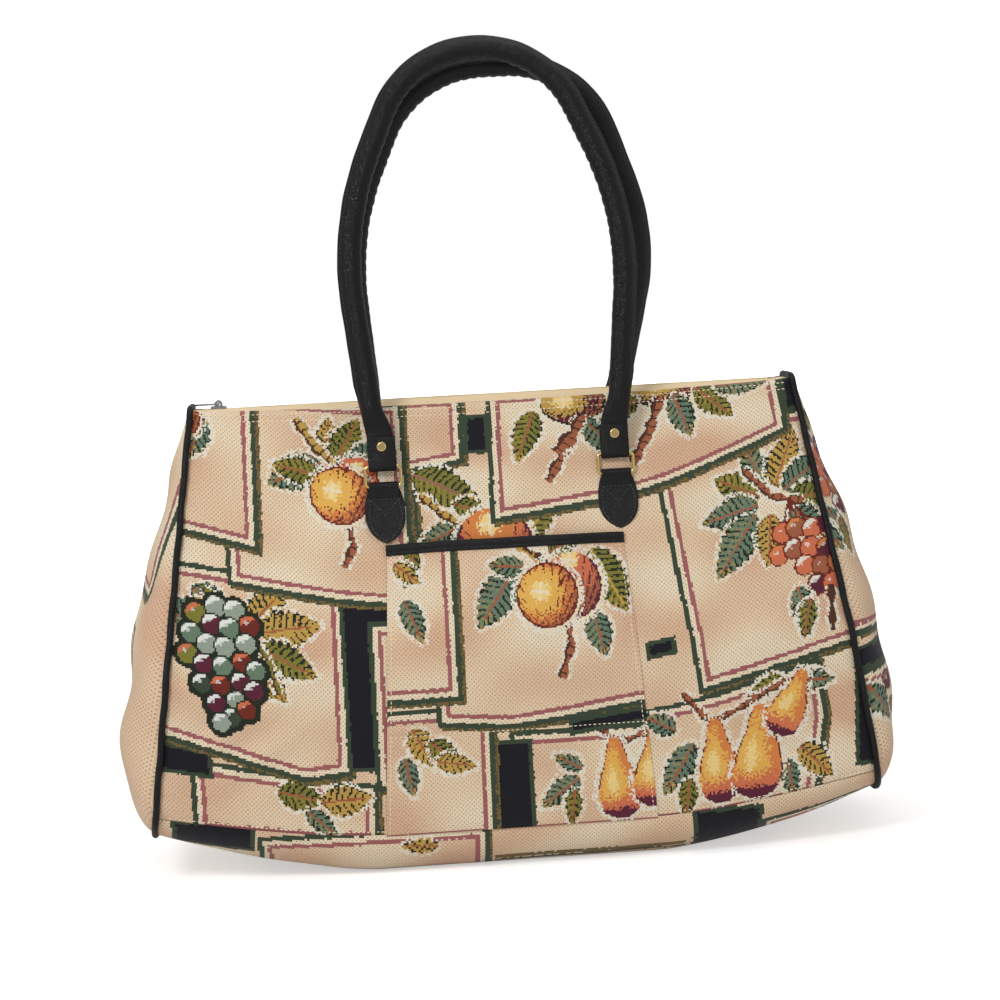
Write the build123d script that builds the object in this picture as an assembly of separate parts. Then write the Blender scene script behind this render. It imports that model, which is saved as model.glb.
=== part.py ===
"""A soft carpet bag that stands on its base, with its two rolled handles up.

The frame's origin is the middle of the base's resting face, +Z is up, the pocket side faces -Y,
and +X runs along the bag. Everything is in millimetres.
"""

from build123d import *
import math
import os

# Body: the end seams lean outwards going down, and the base curves up towards them
TOP_Z = 331.0
SEAM_HALF_TOP = 217.0
SEAM_LEAN = 0.14
STRAIGHT_HALF = 130.0
CLOTH = 2.4
BASE_SEAM_Z = 29.0
BASE_SEAM_RISE = 0.161
END_BULGE = 30.0
# Half outlines of the body's cross section, as (half depth, height) and corner radius
MIDDLE = [((88.0, 0.0), 30.0), ((83.0, 150.0), 120.0), ((18.0, TOP_Z), 5.0)]
END = [((80.0, 36.0), 26.0), ((74.0, 152.0), 110.0), ((17.0, TOP_Z), 5.0)]
DOME_STEPS = [(1.0, 0.0), (0.95, 0.3), (0.86, 0.58), (0.72, 0.81), (0.5, 0.96), (0.3, 1.0)]
END_CENTRE_Z = 150.0
PIPING_R = 2.4
PIPING_PROUD = 1.2
LINING = 0.8
LINING_GAP = 0.3

# Pocket on the front
POCKET_TOP_Z = 230.0
POCKET_FLOOR_Z = 99.0
POCKET_HALF_TOP = 83.0
POCKET_HALF_LOW = 96.0
POCKET_CLOTH = 1.8
POCKET_ROOM = 7.4
POCKET_SEAM = 6.0
BINDING_HEIGHT = 7.0
BINDING_THICK = 0.8

# Zipper along the top
ZIP_HALF = 15.0
TAPE_THICK = 1.0
TAPE_DROP = 1.25
COIL_HALF = 3.0
COIL_HEIGHT = 2.2
COIL_SLOT = 1.7
COIL_END = 203.0
STOP_LENGTH = 2.0
SLIDER_LENGTH = 11.0
SLIDER_WIDTH = 10.4
SLIDER_PLATE = 1.2
SLIDER_GAP = 0.3
SLIDER_POST = 1.0
BAIL_LENGTH = 6.0
BAIL_THICK = 1.8
PULL_PIN_R = 0.9
PULL_GAP = 0.3
PULL_LENGTH = 17.0
PULL_WIDTH = 6.4
PULL_THICK = 1.2

# Tabs, rings, rivets and handles
TAB_X = 83.0
TAB_BAR_Z = 270.5
TAB_WIDTH = 21.0
TAB_WIDEST = 28.4
TAB_LENGTH = 41.0
TAB_THICK = 2.6
RING_WIRE_R = 1.3
RING_STRAIGHT = 19.6
RING_CORNER_R = 2.8
RING_RISE = 14.0
LOOP_GAP = 0.3
TAB_LOOP_WALL = 1.6
HANDLE_R = 8.0
HANDLE_WALL = 2.5
CORE_GAP = 0.1
HANDLE_TOP_Y = 9.0
TONGUE_WIDTH = 20.0
TONGUE_WALL = 2.0
TONGUE_LENGTH = 22.0
NECK_LENGTH = 18.0
ROUNDING = 0.8
NEARLY_ROUND = 0.98
RIVET_HEIGHT = 14.0
RIVET_CAP_R = 3.6
RIVET_CAP = 1.5
RIVET_SHANK_R = 1.5
RIVET_GAP = 0.05
# Routes of the two handles seen from the front, as (x, z) and corner radius
FRONT_ROUTE = [(-102, 455, 220), (-48, 577, 73), (48, 577, 73), (102, 455, 220)]
BACK_ROUTE = [(-96, 450, 200), (-46, 565, 78), (75, 565, 74), (121, 437, 150)]

LOOP_R = RING_WIRE_R + LOOP_GAP
TAPE_Z = TOP_Z - TAPE_DROP
FAR = 400.0


def slope_of(half):
    """Rise of the leaning upper face: outward depth lost for each millimetre of height."""
    (low_y, low_z), (top_y, top_z) = half[1][0], half[2][0]
    return (low_y - top_y) / (top_z - low_z)


def corners(half):
    """Closed outline as (y, z) corners and radii, anticlockwise seen along -X."""
    right = [((y, z), r) for (y, z), r in half]
    left = [((-y, z), r) for (y, z), r in reversed(half)]
    return right + left


def moved_in(points, inset):
    """The same closed outline with each side moved inwards."""
    moved = []
    for i, (y, z) in enumerate(points):
        before = Vector(y - points[i - 1][0], z - points[i - 1][1]).normalized()
        follow = points[(i + 1) % len(points)]
        after = Vector(follow[0] - y, follow[1] - z).normalized()
        normals = Vector(-before.Y - after.Y, before.X + after.X)
        step = normals * (inset / (1 + before.dot(after)))
        moved.append((y + step.X, z + step.Y))
    return moved


def seam_x(z):
    """Distance of the leaning end seam from the middle at a height."""
    return SEAM_HALF_TOP + (TOP_Z - z) * SEAM_LEAN


def section(side, at_end, inset, share=1.0, out=0.0):
    """A closed wire round the body, at an end seam or where the straight middle ends.

    A share under 1 shrinks it about the middle of the end, and out moves it outwards.
    """
    outline = corners(END if at_end else MIDDLE)
    flat = moved_in([point for point, _ in outline], inset)
    radii = [(radius - inset) * share for _, radius in outline]
    step = end_normal(side) * out
    place = []
    for y, z in flat:
        z = END_CENTRE_Z + (z - END_CENTRE_Z) * share
        x = side * (seam_x(z) if at_end else STRAIGHT_HALF)
        place.append(Vector(x, y * share, z) + step)
    return Wire(FilletPolyline(*place, radius=radii, close=True).edges())


def body(inset):
    """The body between its end seams, as one solid moved inwards by inset."""
    places = [(-1, True), (-1, False), (1, False), (1, True)]
    return Solid.make_loft([section(s, e, inset) for s, e in places], ruled=True)


def end_normal(side):
    """Outward direction of an end seam's plane."""
    return Vector(side, 0, SEAM_LEAN).normalized()


def dome(side, inset):
    """The bulging end outside a seam, as one solid moved inwards by inset."""
    bulge = END_BULGE - inset
    wires = [section(side, True, inset, share, bulge * out) for share, out in DOME_STEPS]
    return Solid.make_loft(wires, ruled=True)


def prism_xz(points):
    """A prism through the whole depth, from corners seen from the front."""
    return extrude(Plane.XZ * make_face(Polyline(*points, close=True)), FAR, both=True)


def block(low, high):
    """A box between two corners."""
    size = [b - a for a, b in zip(low, high)]
    return Pos(*low) * Box(*size, align=(Align.MIN, Align.MIN, Align.MIN))


def base_cutter():
    """Everything under the seam between the base and the two faces."""
    far_z = BASE_SEAM_Z + (FAR - STRAIGHT_HALF) * BASE_SEAM_RISE
    top = [(FAR, far_z), (STRAIGHT_HALF, BASE_SEAM_Z), (-STRAIGHT_HALF, BASE_SEAM_Z), (-FAR, far_z)]
    return prism_xz([(-FAR, -FAR), (FAR, -FAR)] + top)


def panels(outer, inner):
    """Front, back and base cloth, split at the base seam and at the zipper."""
    shell = outer - inner
    below = base_cutter()
    walls = shell - below
    front = walls & block((-FAR, -FAR, -FAR), (FAR, -ZIP_HALF, FAR))
    back = walls & block((-FAR, ZIP_HALF, -FAR), (FAR, FAR, FAR))
    return {"front_panel": front, "back_panel": back, "base_panel": shell & below}


def piping(side, solids):
    """The covered cord along an end seam, hollowed where it lies on the cloth."""
    route = section(side, True, -PIPING_PROUD)
    start = Plane(origin=route @ 0, z_dir=route % 0)
    cord = sweep(start * Circle(PIPING_R), path=route)
    for solid in solids:
        cord = cord - solid
    return cord


def lining(outside):
    """The thin lining that follows the cloth inside, open under the zipper."""
    inset = CLOTH + LINING_GAP
    skin = body(inset)
    for side in (-1, 1):
        skin = skin + dome(side, inset)
    hollow = body(inset + LINING)
    for side in (-1, 1):
        hollow = hollow + dome(side, inset + LINING)
    mouth_half = ZIP_HALF - 2 * LINING
    mouth = block((-SEAM_HALF_TOP, -mouth_half, TAPE_Z - ZIP_HALF), (SEAM_HALF_TOP, mouth_half, FAR))
    return (skin & outside) - hollow - mouth


def middle_layer(low, high):
    """The space over the straight middle between two distances out from its surface."""
    faces = []
    for distance in (high, low):
        outline = corners(MIDDLE)
        flat = moved_in([point for point, _ in outline], -distance)
        radii = [radius + distance for _, radius in outline]
        wire = FilletPolyline(*[(0, y, z) for y, z in flat], radius=radii, close=True)
        faces.append(extrude(make_face(wire), STRAIGHT_HALF, both=True))
    return faces[0] - faces[1]


def pocket_half(z):
    """Half width of the pocket strip at a height."""
    share = (POCKET_TOP_Z - z) / (POCKET_TOP_Z - BASE_SEAM_Z)
    return POCKET_HALF_TOP + (POCKET_HALF_LOW - POCKET_HALF_TOP) * share


def strip(low_z, high_z, inset):
    """The front half of a prism as wide as the pocket strip, between two heights."""
    low, high = pocket_half(low_z) - inset, pocket_half(high_z) - inset
    shape = prism_xz([(-low, low_z), (low, low_z), (high, high_z), (-high, high_z)])
    return shape & block((-FAR, -FAR, -FAR), (FAR, 0, FAR))


def pocket():
    """The pocket strip: a loose upper part over the pocket, and a lower part sewn flat."""
    reach = POCKET_ROOM + POCKET_CLOTH
    top_z = POCKET_TOP_Z - BINDING_THICK
    room = strip(POCKET_FLOOR_Z + POCKET_SEAM, POCKET_TOP_Z, POCKET_SEAM)
    loose = middle_layer(0, reach) & strip(POCKET_FLOOR_Z, top_z, 0)
    loose = loose - (middle_layer(-CLOTH, POCKET_ROOM) & room)
    flat = middle_layer(0, POCKET_CLOTH) & strip(BASE_SEAM_Z, POCKET_FLOOR_Z, 0)
    panel = loose + flat
    band = middle_layer(POCKET_ROOM - BINDING_THICK, reach + BINDING_THICK)
    binding = (band & strip(POCKET_TOP_Z - BINDING_HEIGHT, POCKET_TOP_Z, 0)) - panel
    return {"pocket_panel": panel, "pocket_binding": binding}


def zipper(outer):
    """Two tapes, two coils with a slot for the slider's post, and the stops."""
    nodes = {}
    half = TAPE_THICK / 2
    rise = COIL_HEIGHT / 2
    for name, side in (("front", -1), ("back", 1)):
        near, far = sorted((side * COIL_HALF, side * ZIP_HALF))
        tape = block((-FAR, near, TAPE_Z - half), (FAR, far, TAPE_Z + half))
        nodes["zipper_tape_" + name] = outer & tape
        near, far = sorted((side * COIL_SLOT / 2, side * COIL_HALF))
        coil = block((-COIL_END, near, TAPE_Z - rise), (COIL_END, far, TAPE_Z + rise))
        nodes["zipper_coil_" + name] = coil
    stops = []
    for x in (-COIL_END - STOP_LENGTH, COIL_END):
        stop = block((x, -COIL_HALF, TAPE_Z - rise), (x + STOP_LENGTH, COIL_HALF, TAPE_Z + rise))
        stops.append(stop)
    nodes["zipper_stops"] = Compound(children=stops)
    return nodes


def pin_place():
    """Middle of the pull's pin, as (x, z), at the closed end."""
    plate_top = TAPE_Z + COIL_HEIGHT / 2 + SLIDER_GAP + SLIDER_PLATE
    return -COIL_END + SLIDER_GAP + SLIDER_LENGTH / 2, plate_top + PULL_PIN_R + 2 * PULL_GAP


def slider():
    """The slider at the closed end: two plates, their flanges, a post and a bail."""
    middle_x, pin_z = pin_place()
    low_x = middle_x - SLIDER_LENGTH / 2
    high_x = low_x + SLIDER_LENGTH
    half = SLIDER_WIDTH / 2
    room = COIL_HEIGHT / 2 + SLIDER_GAP
    lip = TAPE_THICK / 2 + SLIDER_GAP
    inside = COIL_HALF + SLIDER_GAP
    whole = block((low_x, -half, TAPE_Z - room - SLIDER_PLATE), (high_x, half, TAPE_Z + room + SLIDER_PLATE))
    whole = fillet(whole.edges().filter_by(Axis.Z), SLIDER_PLATE)
    whole = whole - block((-FAR, -inside, TAPE_Z - room), (FAR, inside, TAPE_Z + room))
    whole = whole - block((-FAR, -FAR, TAPE_Z - lip), (FAR, FAR, TAPE_Z + lip))
    post_x = low_x + SLIDER_PLATE
    post = block((post_x, -SLIDER_POST / 2, TAPE_Z - room), (post_x + 2, SLIDER_POST / 2, TAPE_Z + room))
    bail_r = PULL_PIN_R + PULL_GAP
    bail_low = block((middle_x - BAIL_LENGTH / 2, -BAIL_THICK / 2, pin_z - bail_r - PULL_GAP),
                     (middle_x + BAIL_LENGTH / 2, BAIL_THICK / 2, pin_z))
    arch = Pos(middle_x, 0, pin_z) * Rot(90, 0, 0) * Cylinder(BAIL_LENGTH / 2, BAIL_THICK)
    arch = arch & block((-FAR, -FAR, pin_z), (FAR, FAR, FAR))
    hole = Pos(middle_x, 0, pin_z) * Rot(90, 0, 0) * Cylinder(bail_r, BAIL_THICK * 2)
    pin_half = PULL_WIDTH / 2
    pin = Pos(middle_x, 0, pin_z) * Rot(90, 0, 0) * Cylinder(PULL_PIN_R, 2 * pin_half)
    plate = block((middle_x - PULL_LENGTH, -pin_half, pin_z - PULL_THICK / 2),
                  (middle_x, pin_half, pin_z + PULL_THICK / 2))
    plate = fillet(plate.edges().filter_by(Axis.Z).group_by(Axis.X)[0], pin_half * 0.9)
    clear = BAIL_THICK / 2 + PULL_GAP
    window_end = middle_x - BAIL_LENGTH / 2 - PULL_THICK
    plate = plate - block((window_end, -clear, -FAR), (FAR, clear, FAR))
    pull_hole = Pos(middle_x - PULL_LENGTH + pin_half, 0, pin_z) * Cylinder(PULL_PIN_R, FAR)
    nodes = {"zipper_slider": whole + post + bail_low + arch - hole}
    nodes["zipper_pull"] = plate + pin - pull_hole
    return nodes


def tab_plane(side):
    """The leaning face under a tab: local X along the bag, local Y up the face, Z outwards."""
    slope = slope_of(MIDDLE)
    top_y = MIDDLE[2][0][0]
    foot = Vector(side * TAB_X, -top_y - (TOP_Z - TAB_BAR_Z) * slope, TAB_BAR_Z)
    return Plane(origin=foot, x_dir=(1, 0, 0), z_dir=Vector(0, -1, slope).normalized())


def tab_loop_r():
    """Outer radius of the tab's fold round the ring."""
    return LOOP_R + TAB_LOOP_WALL


def bar_local():
    """Place of the ring's lower bar in a tab's plane."""
    return (0, 0, tab_loop_r() + CORE_GAP)


def tab(side):
    """One leather tab: a fold round the ring's bar and a leaf sewn down on the face."""
    half = TAB_WIDTH / 2
    wide = TAB_WIDEST / 2
    middle = TAB_LENGTH / 2
    right = [
        ThreePointArc((half, 0), (half + 0.82 * (wide - half), -middle / 2), (wide, -middle)),
        ThreePointArc((wide, -middle), (0.74 * wide, -0.81 * TAB_LENGTH), (0, -TAB_LENGTH)),
    ]
    left = [mirror(edge, about=Plane.YZ) for edge in right]
    leaf = extrude(make_face([Line((-half, 0), (half, 0))] + right + left), TAB_THICK)
    axis = Pos(*bar_local()) * Rot(0, 90, 0)
    fold = axis * Cylinder(tab_loop_r(), TAB_WIDTH)
    front_n = bar_local()[2] + tab_loop_r() - CORE_GAP
    points = [(0, 0), (0, front_n), (-half, TAB_THICK), (-half, 0)]
    cheek = extrude(Plane.YZ * make_face(Polyline(*points, close=True)), half, both=True)
    shape = leaf + fold + cheek - axis * Cylinder(LOOP_R, 2 * TAB_WIDTH)
    return tab_plane(side) * shape


def bar_point(side):
    """The ring's lower bar."""
    return tab_plane(side).from_local_coords(Vector(*bar_local()))


def lean_of(route):
    """Inward lean of a handle's plane, from the rings to the top of its arch."""
    top_z = max(z for _, z, _ in route)
    bar = bar_point(1)
    return math.atan2(-HANDLE_TOP_Y - bar.Y, top_z - bar.Z)


def hung_plane(side, route, height):
    """Frame in the handle's plane over a ring: X along the bag, Z up the handle."""
    lean = lean_of(route)
    up = Vector(0, math.sin(lean), math.cos(lean))
    return Plane(origin=bar_point(side) + up * height, x_dir=(1, 0, 0), z_dir=up)


def ring(side, route):
    """One wire ring, a rectangle with round corners that stands in the handle's plane."""
    half = RING_STRAIGHT / 2 + RING_CORNER_R
    points = [(-half, 0, 0), (half, 0, 0), (half, 0, RING_RISE), (-half, 0, RING_RISE)]
    route_wire = Wire(FilletPolyline(*points, radius=RING_CORNER_R, close=True).edges())
    start = Plane(origin=route_wire @ 0, z_dir=route_wire % 0)
    wire = sweep(start * Circle(RING_WIRE_R), path=route_wire)
    return hung_plane(side, route, 0) * wire


def rivet(side, route):
    """One domed rivet through a handle end."""
    thick = 2 * (LOOP_R + TONGUE_WALL)
    turn = Pos(0, 0, RIVET_HEIGHT) * Rot(90, 0, 0)
    cap = Cylinder(RIVET_CAP_R, RIVET_CAP)
    cap = fillet(cap.edges().group_by(Axis.Z)[-1], RIVET_CAP * 0.8)
    front = Pos(0, 0, (thick + RIVET_CAP) / 2) * cap
    back = mirror(front, about=Plane.XY)
    shape = front + back + Cylinder(RIVET_SHANK_R, thick)
    return hung_plane(side, route, RING_RISE) * (turn * shape)


def handle_route(route):
    """The handle's centre line from neck to neck, in its leaning plane."""
    lean = lean_of(route)
    bar = bar_point(1)
    neck = hung_plane(1, route, RING_RISE + TONGUE_LENGTH + NECK_LENGTH).origin
    first, last = route[0], route[-1]
    legs = []
    for x, z, side in ((first[0], first[1], -1), (last[0], last[1], 1)):
        toward = (x - side * TAB_X) / (z - bar.Z)
        legs.append(side * TAB_X + toward * (neck.Z - bar.Z))
    points = [(legs[0], neck.Z)] + [(x, z) for x, z, _ in route] + [(legs[1], neck.Z)]
    placed = [(x, bar.Y + (z - bar.Z) * math.tan(lean), z) for x, z in points]
    return Wire(FilletPolyline(*placed, radius=[r for _, _, r in route]).edges())


def handle(route):
    """The leather cover of one handle with its two riveted ends, and the cord inside it."""
    path = handle_route(route)
    across = hung_plane(1, route, 0).y_dir
    start = Plane(origin=path @ 0, z_dir=path % 0)
    cover = sweep(start * Circle(HANDLE_R), path=path)
    for at in (0, 1):
        point, up = path @ at, path % at
        up = up if up.Z > 0 else up * -1
        side = 1 if point.X > 0 else -1
        neck = Plane(origin=point, x_dir=across.cross(up), z_dir=up)
        over = hung_plane(side, route, RING_RISE)
        loop_r = LOOP_R + TONGUE_WALL
        flat = RectangleRounded(TONGUE_WIDTH, 2 * loop_r, loop_r * ROUNDING)
        tongue = extrude(flat, TONGUE_LENGTH) + Rot(0, 90, 0) * Cylinder(loop_r, TONGUE_WIDTH)
        round_end = RectangleRounded(2 * HANDLE_R, 2 * HANDLE_R, HANDLE_R * NEARLY_ROUND)
        low = over * Pos(0, 0, TONGUE_LENGTH - 2 * TONGUE_WALL)
        waist = loft([low * flat, neck * round_end])
        cover = cover + over * tongue + waist
    core_r = HANDLE_R - HANDLE_WALL
    core = sweep(start * Circle(core_r), path=path)
    cover = cover - sweep(start * Circle(core_r + CORE_GAP), path=path)
    for side in (-1, 1):
        over = hung_plane(side, route, RING_RISE)
        cover = cover - over * (Rot(0, 90, 0) * Cylinder(LOOP_R, 2 * TONGUE_WIDTH))
        rivet_hole = Pos(0, 0, RIVET_HEIGHT) * Rot(90, 0, 0) * Cylinder(RIVET_SHANK_R + RIVET_GAP, 4 * HANDLE_R)
        cover = cover - over * rivet_hole
    return cover, core


def carrying_side(name, route):
    """Tabs, rings, rivets and handle of one face, made at the front and mirrored for the back."""
    cover, core = handle(route)
    nodes = {"handle_" + name: cover, "handle_core_" + name: core}
    for end, side in (("left", -1), ("right", 1)):
        nodes["tab_" + name + "_" + end] = tab(side)
        nodes["ring_" + name + "_" + end] = ring(side, route)
        nodes["rivet_" + name + "_" + end] = rivet(side, route)
    if name == "back":
        nodes = {key: mirror(shape, about=Plane.XZ) for key, shape in nodes.items()}
    return nodes


def make_bag():
    """Every piece of the bag by its node name."""
    outer = body(0)
    inner = body(CLOTH)
    nodes = panels(outer, inner)
    domes = {side: dome(side, 0) for side in (-1, 1)}
    for end, side in (("left", -1), ("right", 1)):
        nodes["end_panel_" + end] = domes[side] - dome(side, CLOTH)
        nodes["piping_" + end] = piping(side, [outer, domes[side]])
    nodes["lining"] = lining(inner + dome(-1, CLOTH) + dome(1, CLOTH))
    nodes.update(pocket())
    nodes.update(zipper(outer))
    nodes.update(slider())
    nodes.update(carrying_side("front", FRONT_ROUTE))
    nodes.update(carrying_side("back", BACK_ROUTE))
    return nodes


def main():
    os.makedirs("parts", exist_ok=True)
    for name, shape in make_bag().items():
        export_step(shape, "parts/" + name + ".step")
        print(name, round(shape.volume))


main()
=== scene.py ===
"""A soft carpet bag of woven tapestry with piped ends, a top zipper and two rolled leather handles.

Laid out as a Blender add-on and run as a script. Everything is in metres, in the frame's own axes:
+Z up, +X along the bag, and the pocket side faces -Y.
"""

import math

import bmesh
import bpy
import numpy as np
from mathutils import Euler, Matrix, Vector
from mathutils.bvhtree import BVHTree


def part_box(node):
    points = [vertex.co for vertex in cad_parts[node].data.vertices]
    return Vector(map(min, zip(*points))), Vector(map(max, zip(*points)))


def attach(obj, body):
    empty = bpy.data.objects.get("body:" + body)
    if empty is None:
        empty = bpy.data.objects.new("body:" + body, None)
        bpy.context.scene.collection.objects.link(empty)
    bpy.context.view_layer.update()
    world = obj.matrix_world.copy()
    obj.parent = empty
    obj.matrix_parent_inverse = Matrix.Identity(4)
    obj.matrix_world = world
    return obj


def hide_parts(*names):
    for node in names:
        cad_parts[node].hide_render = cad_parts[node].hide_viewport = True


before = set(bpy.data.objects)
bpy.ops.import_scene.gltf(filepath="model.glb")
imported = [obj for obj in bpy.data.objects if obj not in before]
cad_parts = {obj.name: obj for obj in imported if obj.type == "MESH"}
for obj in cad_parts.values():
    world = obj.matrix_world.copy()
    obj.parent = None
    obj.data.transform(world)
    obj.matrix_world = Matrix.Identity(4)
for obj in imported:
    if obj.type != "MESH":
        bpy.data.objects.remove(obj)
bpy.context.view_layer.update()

bl_info = {
    "name": "Tapestry carpet bag",
    "version": (1, 0, 0),
    "blender": (4, 5, 0),
    "location": "View3D > Sidebar > Bag",
    "description": "Builds a soft tapestry bag with rolled handles around its packed frame",
    "category": "Add Mesh",
}

MM = 0.001

# The body's cross section, as half depth, height and corner radius, in millimetres
MIDDLE = [(88.0, 0.0, 30.0), (83.0, 150.0, 120.0), (18.0, 331.0, 5.0)]
END = [(80.0, 36.0, 26.0), (74.0, 152.0, 110.0), (17.0, 331.0, 5.0)]
TOP_Z = 331.0
SEAM_HALF_TOP = 217.0
SEAM_LEAN = 0.14
BASE_SEAM_Z = 29.0
BASE_SEAM_RISE = 0.161
STRAIGHT_HALF = 130.0
ZIP_HALF = 15.0
END_CENTRE_Z = 150.0
END_BULGE = 30.0
PIPING_R = 2.4
PIPING_PROUD = 1.2
TAB_X = 83.0
STRAIGHT_SHARE = 0.38

# The handles' routes seen from the front, as x, height and corner radius, and how they hang
FRONT_ROUTE = [(-102, 455, 220), (-48, 577, 73), (48, 577, 73), (102, 455, 220)]
BACK_ROUTE = [(-96, 450, 200), (-46, 565, 78), (75, 565, 74), (121, 437, 150)]
FRONT_NECKS = (-88.56, 88.56)
BACK_NECKS = (-86.91, 95.33)
NECK_Z = 325.3
FRONT_LEAN = math.radians(6.322)
BACK_LEAN = math.radians(6.578)
BAR_Y = -42.832
BAR_Z = 271.615
RING_RISE = 14.0
TAB_BAR_Z = 270.5

# The folded end of a handle: half its gap, how far it reaches up, and the step of its points
FOLD_HALF = 2.55
FOLD_REACH = 21.0
FOLD_STEP = 0.7

# How far the top edges sink below the zipper, and how far inside the cloth the lining lies
EDGE_SINK = 5.0
LINING_IN = 5.0

# Points across and up each cloth, which set the size of a woven cell
FRONT_POINTS = (392, 242)
BACK_POINTS = (312, 192)
BASE_POINTS = (300, 130)
POCKET_POINTS = (186, 196)
TAPE_POINTS = (220, 40)

# Stitches: length of one on the cloth, and how far the thread lies off what it is sewn to
STITCH = 2.3
THREAD_LIFT = 0.15
TAB_THREAD_LIFT = 0.1

# The stage: each light's name, place, size and power, then the floor and the camera
LIGHTS = (
    ("key", (-1.1, -1.5, 1.7), 0.7, 23.0),
    ("fill", (1.5, -1.5, 0.8), 1.4, 4.0),
    ("top", (0.2, 0.1, 2.0), 1.4, 9.0),
)
LIGHTS_AIM = (0, 0, 0.25)
WORLD_LIGHT = 0.44
FLOOR_HALF = 6000
FLOOR_GLOW_NEAR = (0.7, 0.5)
FLOOR_GLOW_FAR = (1.7, 1.6)
LENS = 88.9
CAMERA_TARGET = (0.002, 0.0, 0.2524)
CAMERA_AWAY = 1.8
CAMERA_LIFT = math.radians(6.0)
CAMERA_AROUND = math.radians(-4.0)
CAMERA_ROLL = math.radians(-3.0)

# Places that come from the frame, in millimetres
POCKET_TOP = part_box("pocket_binding")[1][2] / MM
POCKET_HALF_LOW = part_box("pocket_panel")[1][0] / MM
POCKET_HALF_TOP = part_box("pocket_binding")[1][0] / MM
POCKET_FLOOR = 99.0
COIL_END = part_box("zipper_coil_front")[1][0] / MM
TAPE_Z = (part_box("zipper_tape_front")[0][2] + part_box("zipper_tape_front")[1][2]) / 2 / MM


def srgb(r, g, b):
    """A linear colour from its 0-255 display values."""
    out = []
    for value in (r, g, b):
        share = value / 255
        out.append(share / 12.92 if share <= 0.04045 else ((share + 0.055) / 1.055) ** 2.4)
    return tuple(out)


GROUND = srgb(236, 208, 174)
LIGHT = srgb(243, 226, 196)
PINKER = srgb(224, 184, 152)
HALO = srgb(236, 229, 212)
ROSE = srgb(164, 98, 98)
GREEN = srgb(58, 72, 54)
OLIVE_EDGE = srgb(122, 100, 58)
NAVY = srgb(20, 20, 28)
SAGE = srgb(106, 128, 106)
OLIVE = srgb(128, 124, 52)
GOLD = srgb(196, 158, 78)
DARK_LEAF = srgb(34, 40, 28)
YELLOW = srgb(236, 182, 88)
PALE_YELLOW = srgb(246, 214, 140)
ORANGE = srgb(221, 134, 72)
CORAL = srgb(214, 116, 80)
RED_BROWN = srgb(112, 42, 30)
PLUM = srgb(94, 34, 54)
BARK = srgb(165, 96, 66)
DARK_BARK = srgb(84, 48, 34)
GREY_GREEN = srgb(150, 162, 146)
CRESCENT = srgb(232, 234, 226)
DOT_BROWN = srgb(150, 104, 72)


# ---------------------------------------------------------------- the body's shape

def seam_x(z):
    """Distance of an end seam from the middle at a height, in millimetres."""
    return SEAM_HALF_TOP + (TOP_Z - z) * SEAM_LEAN


def half_outline(corners, grow=0.0):
    """Points of half a cross section, from the middle of the base round to the middle of the top."""
    chain = [(0.0, corners[0][1], 0.0), *corners, (0.0, corners[2][1], 0.0)]
    line = [(0.0, corners[0][1])]
    for i in (1, 2, 3):
        here = np.array(chain[i][:2])
        back = np.array(chain[i - 1][:2]) - here
        on = np.array(chain[i + 1][:2]) - here
        back, on = back / np.linalg.norm(back), on / np.linalg.norm(on)
        half = math.acos(float(np.clip(back @ on, -1, 1))) / 2
        between = (back + on) / np.linalg.norm(back + on)
        centre = here + between * chain[i][2] / math.sin(half)
        first = here + back * chain[i][2] / math.tan(half) - centre
        turn = math.pi - 2 * half
        for share in np.linspace(0, 1, 30 if i == 2 else 14):
            c, s = math.cos(turn * share), math.sin(turn * share)
            line.append(tuple(centre + (first[0] * c - first[1] * s, first[0] * s + first[1] * c)))
    line.append((0.0, corners[2][1]))
    line = np.array(line)
    if grow:
        step = np.gradient(line, axis=0)
        step /= np.maximum(np.linalg.norm(step, axis=1), 1e-9)[:, None]
        line = line + grow * np.stack([step[:, 1], -step[:, 0]], axis=1)
    return line


def rib(t, side, grow=0.0):
    """The body's line round one side where the share t of its half length is reached."""
    mid, end = half_outline(MIDDLE, grow), half_outline(END, grow)
    share = max(0.0, (abs(t) - STRAIGHT_SHARE) / (1 - STRAIGHT_SHARE)) ** 1.5
    yz = mid + (end - mid) * share
    return np.stack([t * seam_x(yz[:, 1]), side * yz[:, 0], yz[:, 1]], axis=1)


def seam_z(x):
    """Height of the seam between the base and a face, in millimetres."""
    over = abs(x) - STRAIGHT_HALF
    return BASE_SEAM_Z + 0.5 * (over + np.sqrt(over * over + 1600.0)) * BASE_SEAM_RISE


def lengths_of(line):
    """Length along a line at each of its points."""
    return np.concatenate([[0], np.cumsum(np.linalg.norm(np.diff(line, axis=0), axis=1))])


def cut(line, low, high, count):
    """Evenly spaced points of a line between two lengths along it."""
    lengths = lengths_of(line)
    at = np.linspace(low, high, count)
    return np.stack([np.interp(at, lengths, line[:, k]) for k in range(3)], axis=1)


def seam_length(line):
    """Length along a rib at which it crosses the base seam."""
    over = line[:, 2] - seam_z(line[:, 0])
    i = int(np.argmax(over > 0))
    lengths = lengths_of(line)
    share = -over[i - 1] / (over[i] - over[i - 1])
    return lengths[i - 1] + share * (lengths[i] - lengths[i - 1])


def top_length(line):
    """Length along a rib at which the face ends beside the zipper."""
    depth = abs(line[:, 1]) - ZIP_HALF
    i = len(depth) - 1 - int(np.argmax(depth[::-1] > 0))
    lengths = lengths_of(line)
    share = depth[i] / (depth[i] - depth[i + 1])
    return lengths[i] + share * (lengths[i + 1] - lengths[i])


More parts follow.
